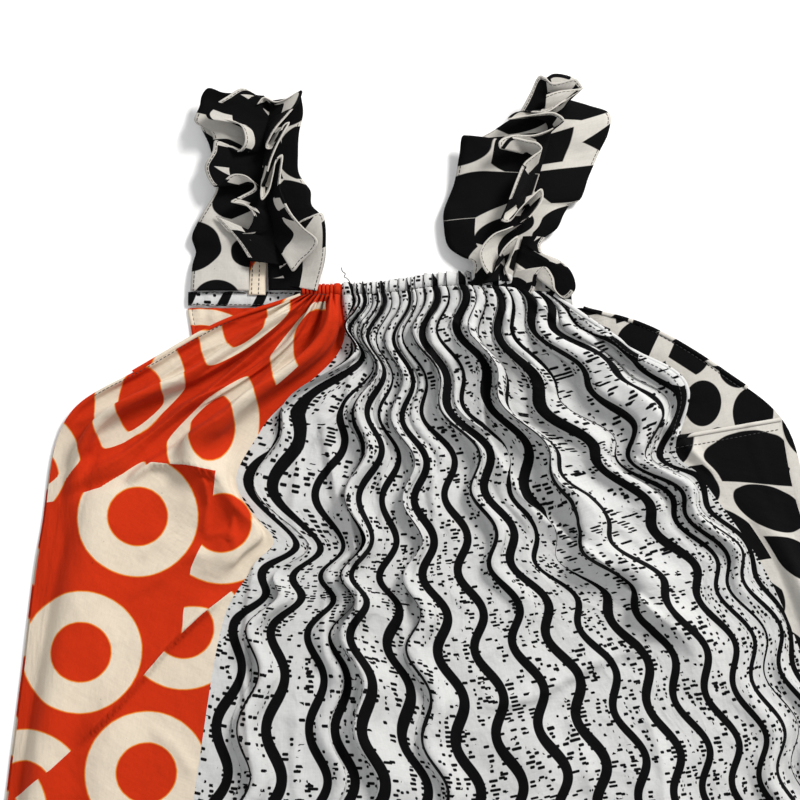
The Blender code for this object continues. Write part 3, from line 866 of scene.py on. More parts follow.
ring_print, given, result = new_group(
    "ring print",
    [
        ("Flat cloth", "NodeSocketVector", None),
        ("Start across", "NodeSocketFloat", 0.0),
        ("Start down", "NodeSocketFloat", 0.0),
    ],
    [("Cream", "NodeSocketFloat"), ("Rim", "NodeSocketFloat")],
)
u, v, _ = parts_of(given.outputs["Flat cloth"])
u = plus(divided(minus(u, given.outputs["Start across"]), RING_COLUMNS), 0.5)
v = plus(divided(minus(v, given.outputs["Start down"]), RING_SPACING), 0.5)
stagger = times(calc("FLOORED_MODULO", calc("FLOOR", u), 2.0), 0.5)
off_u = times(minus(calc("FRACT", u), 0.5), RING_COLUMNS / RING_SPACING)
off_v = minus(calc("FRACT", plus(v, stagger)), 0.5)
ragged = times_plus(noise(given.outputs["Flat cloth"], RAGGED_SCALE, 3), RAGGED, -RAGGED / 2)
distance = plus(times(length_of(off_u, off_v), RING_SPACING), ragged)
in_ring = minus(far_from(distance, (RING_OUTER + RING_INNER) / 2), (RING_OUTER - RING_INNER) / 2)
feed(result.inputs["Cream"], ink_where(in_ring, 0.0002))
feed(result.inputs["Rim"], ink_where(minus(calc("ABSOLUTE", in_ring), RING_RIM / 2), 0.0003))

ORANGE = (0.45, 0.024, 0.004, 1)
RIM_GOLD = (0.62, 0.20, 0.016, 1)
CREAM = (0.60, 0.52, 0.415, 1)


def ring_colour(start_across, start_down):
    """Gives the function that colours cotton with rings, from where the first ring's middle is."""

    def colour(flat):
        rings = use_group(ring_print, Flat_cloth=flat, Start_across=start_across, Start_down=start_down)
        return mix_colour(rings["Rim"], mix_colour(rings["Cream"], ORANGE, CREAM), RIM_GOLD)

    return colour


# Each part of the print past a fold: the middle of one of its rings on the photograph, and the way
# that its column of rings runs.
FLAP_RINGS = ((140, 516), (-0.37, -0.93))
POCKET_RINGS = ((224, 523), (-0.20, -0.98))
LOWER_RINGS = ((187, 626), (-0.24, -0.97))

# Beside the casing and the seam the folds hide the rings: where that starts across the cloth, how
# deep it is at the casing, how fast it deepens towards the seam, and its greatest depth.
PLAIN_FROM = SEAM_LEFT - 0.055
PLAIN_TOP = 0.003
PLAIN_SLANT = 3.2
PLAIN_DEEPEST = 0.094
PLAIN_PLACE = (RING_COLUMNS / 2, RING_SPACING / 4, 0)


def either_side(past, before, after):
    """One place on the print where a fold isn't past yet, and another where it is."""
    node = node_for("Mix", past)
    node.data_type = "VECTOR"
    feed(node.inputs[0], calc("GREATER_THAN", past, 0))
    feed(node.inputs[4], before)
    feed(node.inputs[5], after)
    return node.outputs[1]


def print_place(lie, middle, way):
    """Where the cloth's print falls on a region that lies nearly flat."""
    x, y, _ = parts_of(lie)
    start = seen(*middle)
    x = minus(x, float(start[0]))
    y = minus(y, float(start[1]))
    along = times_plus(x, way[0], times(y, way[1]))
    across = times_plus(x, -way[1], times(y, way[0]))
    return combine(across, along)


def folded_ring_colour(flat):
    """The rings as the strip's folds break them up."""
    tree = flat.id_data
    lie = uv_of(tree, "lie")
    foot, edge, _ = parts_of(uv_of(tree, "folds"))
    pocket = parts_of(uv_of(tree, "pocket"))[0]
    place = either_side(pocket, print_place(lie, *FLAP_RINGS), print_place(lie, *POCKET_RINGS))
    place = either_side(edge, place, print_place(lie, *LOWER_RINGS))
    place = either_side(foot, uv_of(tree, "fan"), place)
    across_cloth, down_cloth, _ = parts_of(flat)
    by_seam = calc("MAXIMUM", minus(across_cloth, PLAIN_FROM), 0)
    plain_depth = calc("MINIMUM", times_plus(by_seam, PLAIN_SLANT, PLAIN_TOP), PLAIN_DEEPEST)
    place = either_side(minus(down_cloth, plain_depth), PLAIN_PLACE, place)
    return ring_colour(0.0, 0.0)(place)


folded_ring_cotton = cotton_material("folded ring print cotton", folded_ring_colour)
ring_cotton = cotton_material("ring print cotton", ring_colour(0.060, 0.040))
orange_cloth.data.materials.append(folded_ring_cotton)
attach(orange_cloth, "root")
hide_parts("front_left_panel")
orange_edges = [edge_of(orange_cloth, armhole(ORANGE_ROWS), 0), edge_of(orange_cloth, -1, slice(None))]
orange_hems = roll_of_cloth("front_orange_hems", orange_edges)
orange_hems.data.materials.append(ring_cotton)
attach(orange_hems, "root")


# The front's side strip is cotton with large black rounded shapes on cream. It is sewn to the wave
# strip from the armhole's foot down to the hem.
side_cloth = front_cloth(
    "front_side_cloth",
    np.linspace(SEAM_RIGHT, SIDE_RIGHT, 60),
    ARMPIT_DEPTH + (LENGTH - ARMPIT_DEPTH) * np.linspace(0, 1, 150),
    CREASES,
    right_side=True,
)

# The shapes' spacing across the cloth and, over that, down it; which shares of them are round and
# cut at the corners; and their sizes.
BLOCK = 0.036
BLOCK_TALL = 1.15
ROUND_UP_TO = 0.55
CUT_FROM = 0.82
BLOCK_SMALLEST = 0.34
BLOCK_SPREAD = 0.14

block_print, given, result = new_group(
    "block print",
    [("Flat cloth", "NodeSocketVector", None), ("Fullness", "NodeSocketFloat", 0.0)],
    [("Ink", "NodeSocketFloat")],
)
u, v, _ = parts_of(given.outputs["Flat cloth"])
columns = divided(u, BLOCK)
column = calc("FLOOR", columns)
slip = times(calc("FLOORED_MODULO", column, 2.0), 0.5)
rows = plus(divided(v, BLOCK * BLOCK_TALL), slip)
row = calc("FLOOR", rows)
x = minus(calc("FRACT", columns), 0.5)
y = minus(calc("FRACT", rows), 0.5)
corner_x = calc("GREATER_THAN", x, 0)
corner_y = calc("GREATER_THAN", y, 0)
pick = random_at(times_plus(column, 2, corner_x), times_plus(row, 2, corner_y))[0]
across = calc("ABSOLUTE", x)
level = calc("ABSOLUTE", y)
use_round = calc("LESS_THAN", pick, ROUND_UP_TO)
use_cut = calc("GREATER_THAN", pick, CUT_FROM)
use_square = minus(minus(1.0, use_round), use_cut)
away = times(length_of(across, level), use_round)
away = plus(away, times(calc("MAXIMUM", across, level), use_square))
away = plus(away, times(plus(across, level), use_cut))
size = random_at(plus(column, 11.0), plus(row, 5.0))[1]
size = plus(times_plus(size, BLOCK_SPREAD, BLOCK_SMALLEST), given.outputs["Fullness"])
feed(result.inputs["Ink"], ink_where(times(minus(away, size), BLOCK), 0.00025))

BLOCK_CREAM = (0.455, 0.435, 0.40, 1)


def block_colour(flat):
    ink = use_group(block_print, Flat_cloth=flat, Fullness=0.05)["Ink"]
    return mix_colour(ink, BLOCK_CREAM, BLACK)


block_cotton = cotton_material("block print cotton", block_colour)
side_cloth.data.materials.append(block_cotton)
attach(side_cloth, "root")
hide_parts("front_right_panel")
side_edges = [edge_of(side_cloth, 0, slice(None)), edge_of(side_cloth, -1, slice(None))]
side_hems = roll_of_cloth("front_side_hems", side_edges)
side_hems.data.materials.append(block_cotton)
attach(side_hems, "root")


# The back's three strips are the same three cottons, sewn side by side, and lie flat under the
# front. Only their armhole corners show beside it, with the gathers that the back casing draws up.
BACK_DEPTHS = np.array([0, 0.057, 0.109, 0.161, 0.239, 0.317, LENGTH])
BACK_EDGES = {
    "left": ((-154, -153, -181, -229, -249, -259, -288), (-14, -42, -62, -83, -165, -254, -543)),
    "left_seam": ((-92, -98, -106, -114, -124, -134, -166), (-14, -60, -104, -154, -232, -312, -566)),
    "right_seam": ((58, 66, 76, 88, 104, 122, 164), (-14, -60, -104, -154, -232, -312, -566)),
    "right": ((103, 149, 196, 234, 252, 272, 296), (-14, -28, -57, -90, -184, -264, -540)),
}
BACK_GATHER = 0.0105
BACK_FULLNESS = 1.15
BACK_RIPPLE = 0.0005
BACK_REACH = 0.035
BACK_SWAY = 0.013


def back_cloth(name, left, right, columns, start_across):
    """One strip of the back, with shallow gathers that fade below its casing."""
    depths = down(110, 1.6)
    share = np.linspace(0, 1, columns)
    places, flats = [], []
    for v in depths:
        a = smooth(BACK_DEPTHS, np.transpose(BACK_EDGES[left]), v) * MM
        b = smooth(BACK_DEPTHS, np.transpose(BACK_EDGES[right]), v) * MM
        spots = a + (b - a) * share[:, None]
        ripple = np.cos(2 * np.pi * spots[:, 0] / BACK_GATHER + np.sin(spots[:, 0] / BACK_SWAY))
        height = BACK_WALL - 0.0004 + BACK_RIPPLE * ripple * math.exp(-v / BACK_REACH)
        height = height + 0.5 * crumple(spots)
        places.append(np.column_stack([spots, np.clip(height, 0.0002, BACK_WALL + 0.0008)]) + NECK)
        wide = np.linalg.norm(b - a)
        flats.append(np.column_stack([start_across + share * wide * BACK_FULLNESS, np.full(columns, v)]))
    return cloth_grid(name, np.array(places), np.array(flats))


BACK_ARMHOLE = slice(2, 44)
for name, left, right, columns, start_across, cloth_print, slot, node in (
    ("back_orange_cloth", "left", "left_seam", 90, 0.05, ring_cotton, "ring_cotton", "back_left_panel"),
    (
        "back_wave_cloth", "left_seam", "right_seam", 60, SEAM_LEFT, wave_cotton, "wave_cotton",
        "back_center_panel",
    ),
    ("back_block_cloth", "right_seam", "right", 90, 0.0, block_cotton, "block_cotton", "back_right_panel"),
):
    strip = back_cloth(name, left, right, columns, start_across)
    strip.data.materials.append(cloth_print)
    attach(strip, "root")
    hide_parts(node)
    edges = [edge_of(strip, -1, slice(None))]
    if node != "back_center_panel":
        edges.append(edge_of(strip, BACK_ARMHOLE, 0 if node == "back_left_panel" else -1))
    hems = roll_of_cloth(name.replace("cloth", "hems"), edges)
    hems.data.materials.append(cloth_print)
    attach(hems, "root")


# The elastic casings are narrow tubes of the strips' own cotton, stitched shut over elastic, which
# draws them into ripples. The front's lies on the back's.
BACK_CASING = ((-155, -8.0, 5.2), (-100, -8.4, 5.2), (0, -8.6, 5.0), (60, -8.4, 5.0), (104, -8.6, 5.2))
CASING_RING = 18


def tube_of_cloth(name, xs, flats_u, table, low, height, ripple, swell):
    """A flattened tube along X, with its ripples' heights."""
    table = np.array(table, float)
    rows = []
    flats = []
    turns = np.linspace(0, 2 * np.pi, CASING_RING + 1)
    for x, u, r in zip(xs, flats_u, ripple):
        _, y, half = smooth(table[:, 0], table, x / MM) * MM
        wide = half - 0.0004 + swell * (r - 0.5)
        tall = height / 2 + swell * 0.8 * (r - 0.35)
        ring = np.column_stack(
            [
                np.full(len(turns), x),
                y + wide * np.cos(turns) * (0.82 + 0.18 * np.abs(np.cos(turns))),
                low + height / 2 + tall * np.sin(turns) * np.where(np.sin(turns) > 0, 1, 0.8),
            ]
        )
        rows.append(ring + NECK)
        flats.append(np.column_stack([np.full(len(turns), u), -turns / (2 * np.pi) * 4 * half]))
    return cloth_grid(name, np.array(rows), np.array(flats))


def neck_columns(from_u, to_u, count):
    """Flat places along the neck, and where their gathers bring them across it."""
    u = np.linspace(from_u, to_u, count)
    return u, front_row(u, 0.0)[:, 0]


FRONT_TUBE = 0.0034
FRONT_SWELL = 0.0002
for name, from_u, to_u, count, cloth_print, slot, node in (
    ("front_casing_orange", 0.002, SEAM_LEFT - 0.0005, 90, ring_cotton, "ring_cotton", "front_casing_left"),
    (
        "front_casing_wave", SEAM_LEFT + 0.0005, SEAM_RIGHT - 0.002, 330, wave_cotton, "wave_cotton",
        "front_casing",
    ),
):
    u, xs = neck_columns(from_u, to_u, count)
    crest = gathers(u, np.zeros(len(u)))[1]
    piece = tube_of_cloth(name, xs, u, FRONT_CASING, FRONT_CASING_LOW, FRONT_TUBE, crest, FRONT_SWELL)
    piece.data.materials.append(cloth_print)
    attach(piece, "root")
    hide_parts(node)

BACK_TUBE = 0.0029
BACK_TUBE_LOW = 0.0002
BACK_SWELL = 0.0005
xs = np.linspace(-0.155, 0.0965, 260)
ripple = 0.5 + 0.5 * np.cos(2 * np.pi * xs / BACK_GATHER + 2 * np.sin(xs / BACK_SWAY))
flat_xs = xs * 1.25 + 0.012
back_casing = tube_of_cloth(
    "back_casing_wave", xs, flat_xs, BACK_CASING, BACK_TUBE_LOW, BACK_TUBE, ripple, BACK_SWELL
)
back_casing.data.materials.append(wave_cotton)
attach(back_casing, "root")
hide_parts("back_casing")


# The shoulder straps' ruffles are strips of the black and cream print, hemmed along both edges and
# gathered down the middle onto a folded tape. Each strap is folded over at the shoulder, so its
# front half lies on its back half.
def along_path(points, count):
    """Even samples of a smooth curve through (x, y, z) points, where x and y are places seen."""
    knots = np.array([[*seen(x, y), z * MM] for x, y, z in points])
    steps = np.linalg.norm(np.diff(knots, axis=0), axis=1) ** 0.7
    marks = np.concatenate([[0], np.cumsum(steps)])
    dense = smooth(marks, knots, np.linspace(0, marks[-1], 1500))
    gone = np.concatenate([[0], np.cumsum(np.linalg.norm(np.diff(dense, axis=0), axis=1))])
    even = np.linspace(0, gone[-1], count)
    return np.column_stack([np.interp(even, gone, dense[:, k]) for k in range(3)]), gone[-1]


# How black each part of a frill is: all black where the fullness is INK, all cream where it is BARE.
INK = 0.45
BARE = -0.55
RUFFLE_WALL = 0.0007


def frill(hem, seam, samples, rows, start, width, bulge, fullness, turned=1, core=0):
    """One frill between its seam and its free hem: its places, its flat cloth and its hem's distances."""
    edge, length = along_path(hem, samples)
    root, _ = along_path(seam, samples)
    places, flats, hems = [], [], []
    along = np.linspace(0, length, samples)
    if np.ndim(fullness):
        steps = np.linalg.norm(np.diff(np.array(hem, float), axis=0), axis=1)
        marks = np.concatenate([[0], np.cumsum(steps)]) / steps.sum()
        fullness = np.tile(np.interp(np.linspace(0, 1, samples), marks, fullness), rows)
        inner = np.repeat(np.linspace(0, 1, rows) < core, samples)
        fullness = np.where(inner, INK, fullness)
    print_marks = np.ones((samples * rows, 1)) * [0, turned]
    print_marks[:, 0] = fullness
    reach = np.linalg.norm(edge - root, axis=1)
    for share in np.linspace(0, 1, rows):
        row = root + (edge - root) * share
        row[:, 2] += bulge * MM * math.sin(math.pi * share) * np.clip(reach / 0.02, 0, 1)
        row[:, 2] += 2.2 * share * crumple(row[:, :2] * 1.7)
        places.append(row + NECK)
        flats.append(np.column_stack([start + along, np.full(samples, width * share)]))
        hems.append(np.column_stack([along, (1 - share) * np.maximum(reach, width * 0.5)]))
    return np.array(places), np.array(flats), np.array(hems), print_marks


def ruffle_of(name, frills):
    """One ruffle from several frills, with the cloth's wall and its flat and hem coordinates."""
    pieces = []
    for places, flats, hems, print_marks in frills:
        piece = cloth_grid(name, places, flats)
        mark(piece, "hem", hems.reshape(-1, 2))
        mark(piece, "fullness", print_marks)
        pieces.append(piece)
    ruffle = joined_cloth(name, pieces)
    wall = ruffle.modifiers.new("wall", "SOLIDIFY")
    wall.thickness = RUFFLE_WALL
    wall.offset = 0
    return ruffle


HEM_BAND = 0.0027
HEM_STITCH = 0.0019
HEM_THREAD_HALF = 0.00028
HEM_PITCH = 0.003
HEM_DASH = 0.74
PATCH_SCALE = 38.0
PATCH_FROM = 0.56


def ruffle_colour(flat):
    """The black and cream print, with the narrow hem and its black stitches along the free edge."""
    tree = flat.id_data
    fullness, turned, _ = parts_of(uv_of(tree, "fullness"))
    ink = use_group(block_print, Flat_cloth=flat, Fullness=fullness)["Ink"]
    along, inside, _ = parts_of(uv_of(tree, "hem"))
    patch = calc("GREATER_THAN", noise(combine(along, 0.0), PATCH_SCALE, 1.0), PATCH_FROM)
    on_hem = times(ink_where(minus(inside, HEM_BAND), 0.0002), turned)
    ink = times_plus(minus(patch, ink), on_hem, ink)
    thread = ink_where(minus(far_from(inside, HEM_STITCH), HEM_THREAD_HALF), 0.0001)
    dash = calc("LESS_THAN", calc("FRACT", divided(along, HEM_PITCH)), HEM_DASH)
    return mix_colour(calc("MAXIMUM", ink, times(thread, dash)), BLOCK_CREAM, BLACK)


ruffle_cotton = cotton_material("ruffle print cotton", ruffle_colour)

RIGHT_SEAM = ((556, 88, 8), (549, 130, 8), (532, 185, 8), (512, 240, 8), (500, 282, 8.5))
RIGHT_CASCADE = (
    (574, 95, 22), (561, 106, 24), (547, 115, 24), (530, 113, 20), (516, 114, 22), (508, 121, 23),
    (522, 119, 24), (539, 117, 25), (555, 116, 25), (565, 122, 22), (553, 130, 20), (536, 136, 20),
    (512, 138, 24), (499, 146, 26), (500, 152, 25), (510, 142, 27), (526, 144, 27), (538, 147, 27),
    (542, 152, 26), (533, 160, 26), (524, 168, 26), (517, 183, 26), (511, 199, 26), (505, 214, 26),
    (501, 225, 25), (508, 226, 23), (519, 214, 25), (531, 202, 27), (542, 193, 25), (543, 201, 24),
    (536, 214, 25), (524, 226, 25), (508, 233, 25), (492, 240, 25), (479, 258, 25), (483, 272, 22),
    (490, 279, 19), (497, 264, 22), (504, 252, 24), (518, 240, 22), (513, 256, 19),
    (506, 268, 15), (512, 282, 11),
)
RIGHT_CASCADE_SHADES = (
    BARE, BARE, BARE, INK, BARE, BARE, INK, INK, INK, BARE, INK, INK, BARE, BARE, BARE, BARE, -0.2,
    BARE, BARE, BARE, INK, INK, INK, INK, BARE, INK, INK, BARE, BARE, INK, INK, BARE, BARE, BARE,
    BARE, BARE, BARE, INK, BARE, BARE, BARE, INK, INK,
)
RIGHT_TOP_SEAM = ((540, 114, 12), (550, 113, 12), (558, 110, 12), (566, 104, 12))
RIGHT_TOP = (
    (521, 111, 15), (531, 93, 19), (541, 76, 22), (547, 79, 24), (554, 75, 23), (566, 75, 22), (577, 79, 21),
    (585, 88, 19),
)
RIGHT_TOP_SHADES = (INK, INK, INK, INK, BARE, BARE, BARE, INK)
RIGHT_LIP_SEAM = ((549, 94, 20), (556, 94, 20), (564, 93, 20), (572, 92, 20))
RIGHT_LIP = ((547, 81, 26), (552, 86, 27), (562, 85, 27), (571, 82, 27), (577, 81, 26), (584, 88, 23))
RIGHT_LIP_SHADES = (BARE, BARE, BARE, BARE, BARE, INK)
RIGHT_FACET_SEAM = ((546, 114, 18), (548, 114, 18), (549, 115, 18), (550, 115, 18))
RIGHT_FACET = ((547, 97, 24), (560, 93, 25), (575, 91, 25), (583, 90, 24), (574, 97, 24), (562, 106, 23))
RIGHT_FACET_SHADES = (BARE, BARE, BARE, INK, BARE, BARE)
RIGHT_CURL_SEAM = ((524, 236, 9), (520, 250, 9), (516, 266, 9), (512, 284, 9))
RIGHT_CURL = (
    (546, 238, 12), (541, 247, 12), (545, 259, 14), (558, 262, 16), (572, 276, 17),
    (575, 292, 15), (566, 300, 13),
    (556, 293, 16), (553, 280, 18), (545, 270, 19), (538, 276, 17), (534, 292, 13), (528, 300, 11),
)
RIGHT_CURL_SHADES = (INK, INK, INK, -0.1, INK, INK, INK, BARE, BARE, BARE, BARE, INK, INK)
RIGHT_FLOUNCE_SEAM = ((549, 92, 7), (541, 130, 7), (524, 185, 7), (505, 240, 7), (494, 290, 8))
RIGHT_FLOUNCE = (
    (560, 90, 4), (592, 99, 4), (611, 106, 4), (614, 110, 5), (611, 130, 5), (604, 144, 3), (597, 160, 4),
    (591, 174, 5), (581, 198, 4), (573, 201, 3), (566, 211, 4), (559, 226, 5), (541, 241, 4), (549, 259, 6),
    (562, 263, 8), (570, 280, 9), (572, 300, 9),
)
RIGHT_DARK_SEAM = ((560, 92, 9), (553, 130, 9), (537, 185, 9), (517, 240, 9), (506, 280, 9))
RIGHT_DARK = (
    (520, 112, 12), (505, 121, 11), (490, 130, 9), (472, 138, 8), (464, 133, 10), (460, 153, 8),
    (455, 180, 6), (444, 211, 7), (444, 222, 7), (449, 246, 6), (462, 256, 7), (473, 262, 9), (470, 288, 11),
)

LEFT_SEAM = ((268, 96, 8), (262, 140, 8), (262, 190, 8), (272, 240, 8), (284, 286, 8))
LEFT_CRUMPLE_SEAM = ((270, 98, 8), (266, 130, 9), (266, 170, 9), (272, 215, 9), (284, 266, 9))
LEFT_CRUMPLE = (
    (258, 96, 14), (240, 89, 22), (226, 98, 23), (214, 106, 23), (205, 116, 24), (208, 121, 24),
    (219, 120, 22), (240, 127, 22), (244, 144, 21), (237, 152, 18), (226, 146, 14), (213, 139, 13),
    (211, 150, 13), (203, 167, 12), (214, 187, 13), (232, 176, 18), (247, 179, 20), (254, 188, 18),
    (240, 197, 16), (230, 203, 16), (243, 206, 19), (253, 217, 16), (244, 233, 12), (228, 232, 10),
    (214, 215, 9), (236, 240, 11), (250, 262, 11),
)
LEFT_LOBE = (
    (262, 92, 10), (240, 90, 12), (222, 90, 13), (205, 85, 12), (199, 92, 11), (197, 103, 12),
    (192, 119, 12), (198, 124, 12), (209, 130, 12), (212, 146, 10),
)
LEFT_LOBE_SEAM = ((264, 94, 7), (258, 110, 7), (254, 130, 7), (252, 150, 7))
LEFT_PLEATS = (
    (256, 104, 18), (262, 97, 18), (274, 101, 17), (286, 98, 18), (301, 91, 20),
    (298, 104, 24), (287, 118, 25),
    (277, 130, 25), (270, 141, 24), (266, 151, 22), (271, 151, 21), (279, 139, 23), (285, 127, 25),
    (289, 125, 25), (284, 136, 26), (277, 150, 26), (271, 165, 26), (266, 182, 25), (261, 195, 25),
    (262, 204, 24), (268, 196, 22), (273, 178, 23), (277, 162, 24), (282, 158, 24),
    (281, 175, 24), (280, 192, 24),
    (285, 206, 25), (292, 219, 26), (304, 233, 26), (318, 247, 25), (312, 257, 22), (302, 265, 20),
    (293, 274, 18), (290, 262, 15), (291, 240, 14), (298, 225, 17), (310, 219, 19), (322, 216, 20),
    (325, 226, 20), (325, 257, 16), (317, 292, 11),
)
LEFT_RIGHT_FLOUNCE_SEAM = (
    (258, 98, 7), (254, 140, 7), (254, 190, 7), (266, 240, 6.5), (267, 262, 6), (268, 290, 6),
)
LEFT_RIGHT_FLOUNCE = (
    (300, 94, 12), (302, 110, 12), (298, 130, 11), (297, 150, 10), (298, 172, 10), (304, 182, 10),
    (310, 191, 11), (311, 205, 12), (321, 216, 12), (325, 236, 12), (325, 258, 11), (316, 292, 10),
)
LEFT_PLEATS_SHADES = (
    BARE, BARE, INK, BARE, BARE, BARE, INK, INK, INK, INK, BARE, BARE, BARE, INK, INK, INK, INK,
    BARE, BARE, BARE, INK, BARE, BARE, INK, INK, INK, BARE, INK, BARE, BARE, BARE, BARE, BARE, BARE,
    INK, INK, INK, BARE, BARE, BARE, BARE,
)
LEFT_CRUMPLE_SHADES = (
    INK, INK, INK, INK, BARE, BARE, BARE, BARE, BARE, INK, BARE, BARE, INK, INK, INK, BARE, BARE,
    INK, INK, BARE, BARE, INK, INK, BARE, BARE, INK, INK,
)
LEFT_LOBE_SHADES = (INK, INK, INK, INK, INK, INK, BARE, BARE, BARE, INK)
LEFT_BACK_SEAM = ((268, 108, 5), (270, 170, 5), (266, 225, 5), (249, 262, 5), (248, 290, 5))
LEFT_BACK = (
    (206, 95, 3), (196, 115, 4), (206, 140, 4), (212, 165, 4), (214, 187, 5), (205, 204, 6), (196, 220, 6),
    (190, 236, 6), (194, 250, 4), (191, 262, 4), (189, 290, 4),
)

right_ruffle = ruffle_of(
    "right_ruffle_cloth",
    [
        frill(RIGHT_FLOUNCE, RIGHT_FLOUNCE_SEAM, 90, 12, 0.0, 0.034, 1.0, 0.06, 0),
        frill(RIGHT_DARK, RIGHT_DARK_SEAM, 90, 12, 0.15, 0.034, 2.0, 0.13, 0),
        frill(RIGHT_CASCADE, RIGHT_SEAM, 420, 16, 0.31, 0.034, 1.5, RIGHT_CASCADE_SHADES, 1, 0.45),
        frill(RIGHT_TOP, RIGHT_TOP_SEAM, 120, 12, 0.555, 0.030, 2.0, RIGHT_TOP_SHADES),
        frill(RIGHT_LIP, RIGHT_LIP_SEAM, 90, 10, 0.64, 0.020, 1.5, RIGHT_LIP_SHADES),
        frill(RIGHT_FACET, RIGHT_FACET_SEAM, 90, 12, 0.70, 0.026, 1.5, RIGHT_FACET_SHADES),
        frill(RIGHT_CURL, RIGHT_CURL_SEAM, 200, 14, 0.83, 0.034, 2.0, RIGHT_CURL_SHADES),
    ],
)
left_ruffle = ruffle_of(
    "left_ruffle_cloth",
    [
        frill(LEFT_BACK, LEFT_BACK_SEAM, 90, 12, 0.02, 0.038, 1.0, 0.02, 0),
        frill(LEFT_LOBE, LEFT_LOBE_SEAM, 70, 12, 0.37, 0.034, 2.0, LEFT_LOBE_SHADES, 0),
        frill(LEFT_RIGHT_FLOUNCE, LEFT_RIGHT_FLOUNCE_SEAM, 90, 12, 0.52, 0.034, 1.5, 0.12, 0),
        frill(LEFT_CRUMPLE, LEFT_CRUMPLE_SEAM, 260, 16, 0.7, 0.034, 2.0, LEFT_CRUMPLE_SHADES, 1, 0.55),
        frill(LEFT_PLEATS, LEFT_SEAM, 380, 16, 0.11, 0.034, 1.5, LEFT_PLEATS_SHADES, 1, 0.5),
    ],
)
for ruffle, node in ((right_ruffle, "right_ruffle"), (left_ruffle, "left_ruffle")):
    ruffle.data.materials.append(ruffle_cotton)
    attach(ruffle, "root")
    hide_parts(node)


# The shoulder tapes are folded bands of the ring print inside the ruffles. They run from the back
# casing over the shoulder to the front one, and are stitched along both edges.
TAPE_HALF = 0.0055
TAPE_WALL = 0.0011
TAPES = {
    "left": (
        (256, 294, 4.0), (257, 262, 3.4), (262, 180, 3.0), (266, 108, 3.0), (267, 100, 4.4),
        (266, 108, 5.8), (262, 180, 6.4), (273, 240, 6.8), (286, 276, 7.0),
    ),
    "right": (
        (536, 294, 4.0), (531, 250, 3.2), (546, 170, 3.0), (559, 108, 3.0), (560, 98, 4.4),
        (556, 108, 5.8), (536, 170, 6.4), (512, 240, 6.8), (503, 272, 7.0),
    ),
}


def shoulder_tape(name, points):
    """A flat folded band along its path, 11 mm wide."""
    path, length = along_path(points, 220)
    along = np.linspace(0, length, len(path))
    places, flats = [], []
    for side in (-1, -0.86, -0.4, 0, 0.4, 0.86, 1):
        droop = 0.0005 * abs(side) ** 4
        places.append(path + np.array([side * TAPE_HALF, 0, -droop]) + NECK)
        flats.append(np.column_stack([np.full(len(path), side * TAPE_HALF), along]))
    band = cloth_grid(name, np.array(places), np.array(flats))
    wall = band.modifiers.new("wall", "SOLIDIFY")
    wall.thickness = TAPE_WALL
    wall.offset = 0
    return band


tape_cotton = cotton_material("tape print cotton", ring_colour(0.030, 0.0))
for side, points in TAPES.items():
    band = shoulder_tape(side + "_shoulder_tape", points)
    band.data.materials.append(tape_cotton)
    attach(band, "root")
    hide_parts(side + "_strap_band")


# The thread is black, in machine stitches along the casings, the tapes and the narrow hems, each
# one pulled a little into the cloth. One end of the neck's thread is loose.
STITCH_PITCH = 0.0030
STITCH_LONG = 0.0022
STITCH_HALF = 0.00026
TAIL_HALF = 0.00030
LOOSE_END = (
    (350, 283, 9.2), (347, 279, 9.6), (344, 277, 9.0), (345, 274, 8.4), (342, 271, 7.6), (341, 267, 6.8),
)


def ground_of(pieces):
    """The surface of some pieces, to lay thread on."""
    points, faces = [], []
    graph = bpy.context.evaluated_depsgraph_get()
    for piece in pieces:
        first = len(points)
        mesh = piece.evaluated_get(graph).data
        points += [vertex.co.copy() for vertex in mesh.vertices]
        faces += [[first + number for number in face.vertices] for face in mesh.polygons]
    return BVHTree.FromPolygons(points, faces)


def skin(mesh, rings):
    """The sides of a thread through rings of four points."""
    for a, b in zip(rings, rings[1:]):
        for k in range(4):
            mesh.faces.new((a[k], a[(k + 1) % 4], b[(k + 1) % 4], b[k]))


def stitch(mesh, ground, spots):
    """One stitch through four spots, laid on the ground and thin at its ends."""
    way = spots[-1] - spots[0]
    aside = np.array([-way[1], way[0]]) / max(np.linalg.norm(way), 1e-9)
    rings = []
    for spot, size, lift in zip(spots, (0.45, 1, 1, 0.45), (0.0, 1.1, 1.1, 0.0)):
        hit = ground.ray_cast(Vector((*spot, 0.1)), Vector((0, 0, -1)))[0]
        if hit is None:
            return
        centre = Vector((*spot, hit.z + STITCH_HALF * (lift - 0.3)))
        wide = Vector((*aside, 0)) * STITCH_HALF * size
        tall = Vector((0, 0, STITCH_HALF * size))
        corners = (centre + wide, centre + tall, centre - wide, centre - tall)
        rings.append([mesh.verts.new(corner) for corner in corners])
    skin(mesh, rings)
    mesh.faces.new(rings[0][::-1])
    mesh.faces.new(rings[-1])


def loose_thread(mesh, points):
    """A thread's free end, through points of a path."""
    middle, _ = along_path(points, 40)
    rings = []
    for spot, way in zip(middle + NECK, np.gradient(middle, axis=0)):
        aside = Vector(way).cross(Vector((0, 0, 1))).normalized()
        rise = aside.cross(Vector(way)).normalized()
        corners = [Vector(spot) + TAIL_HALF * corner for corner in (aside, rise, -aside, -rise)]
        rings.append([mesh.verts.new(corner) for corner in corners])
    skin(mesh, rings)


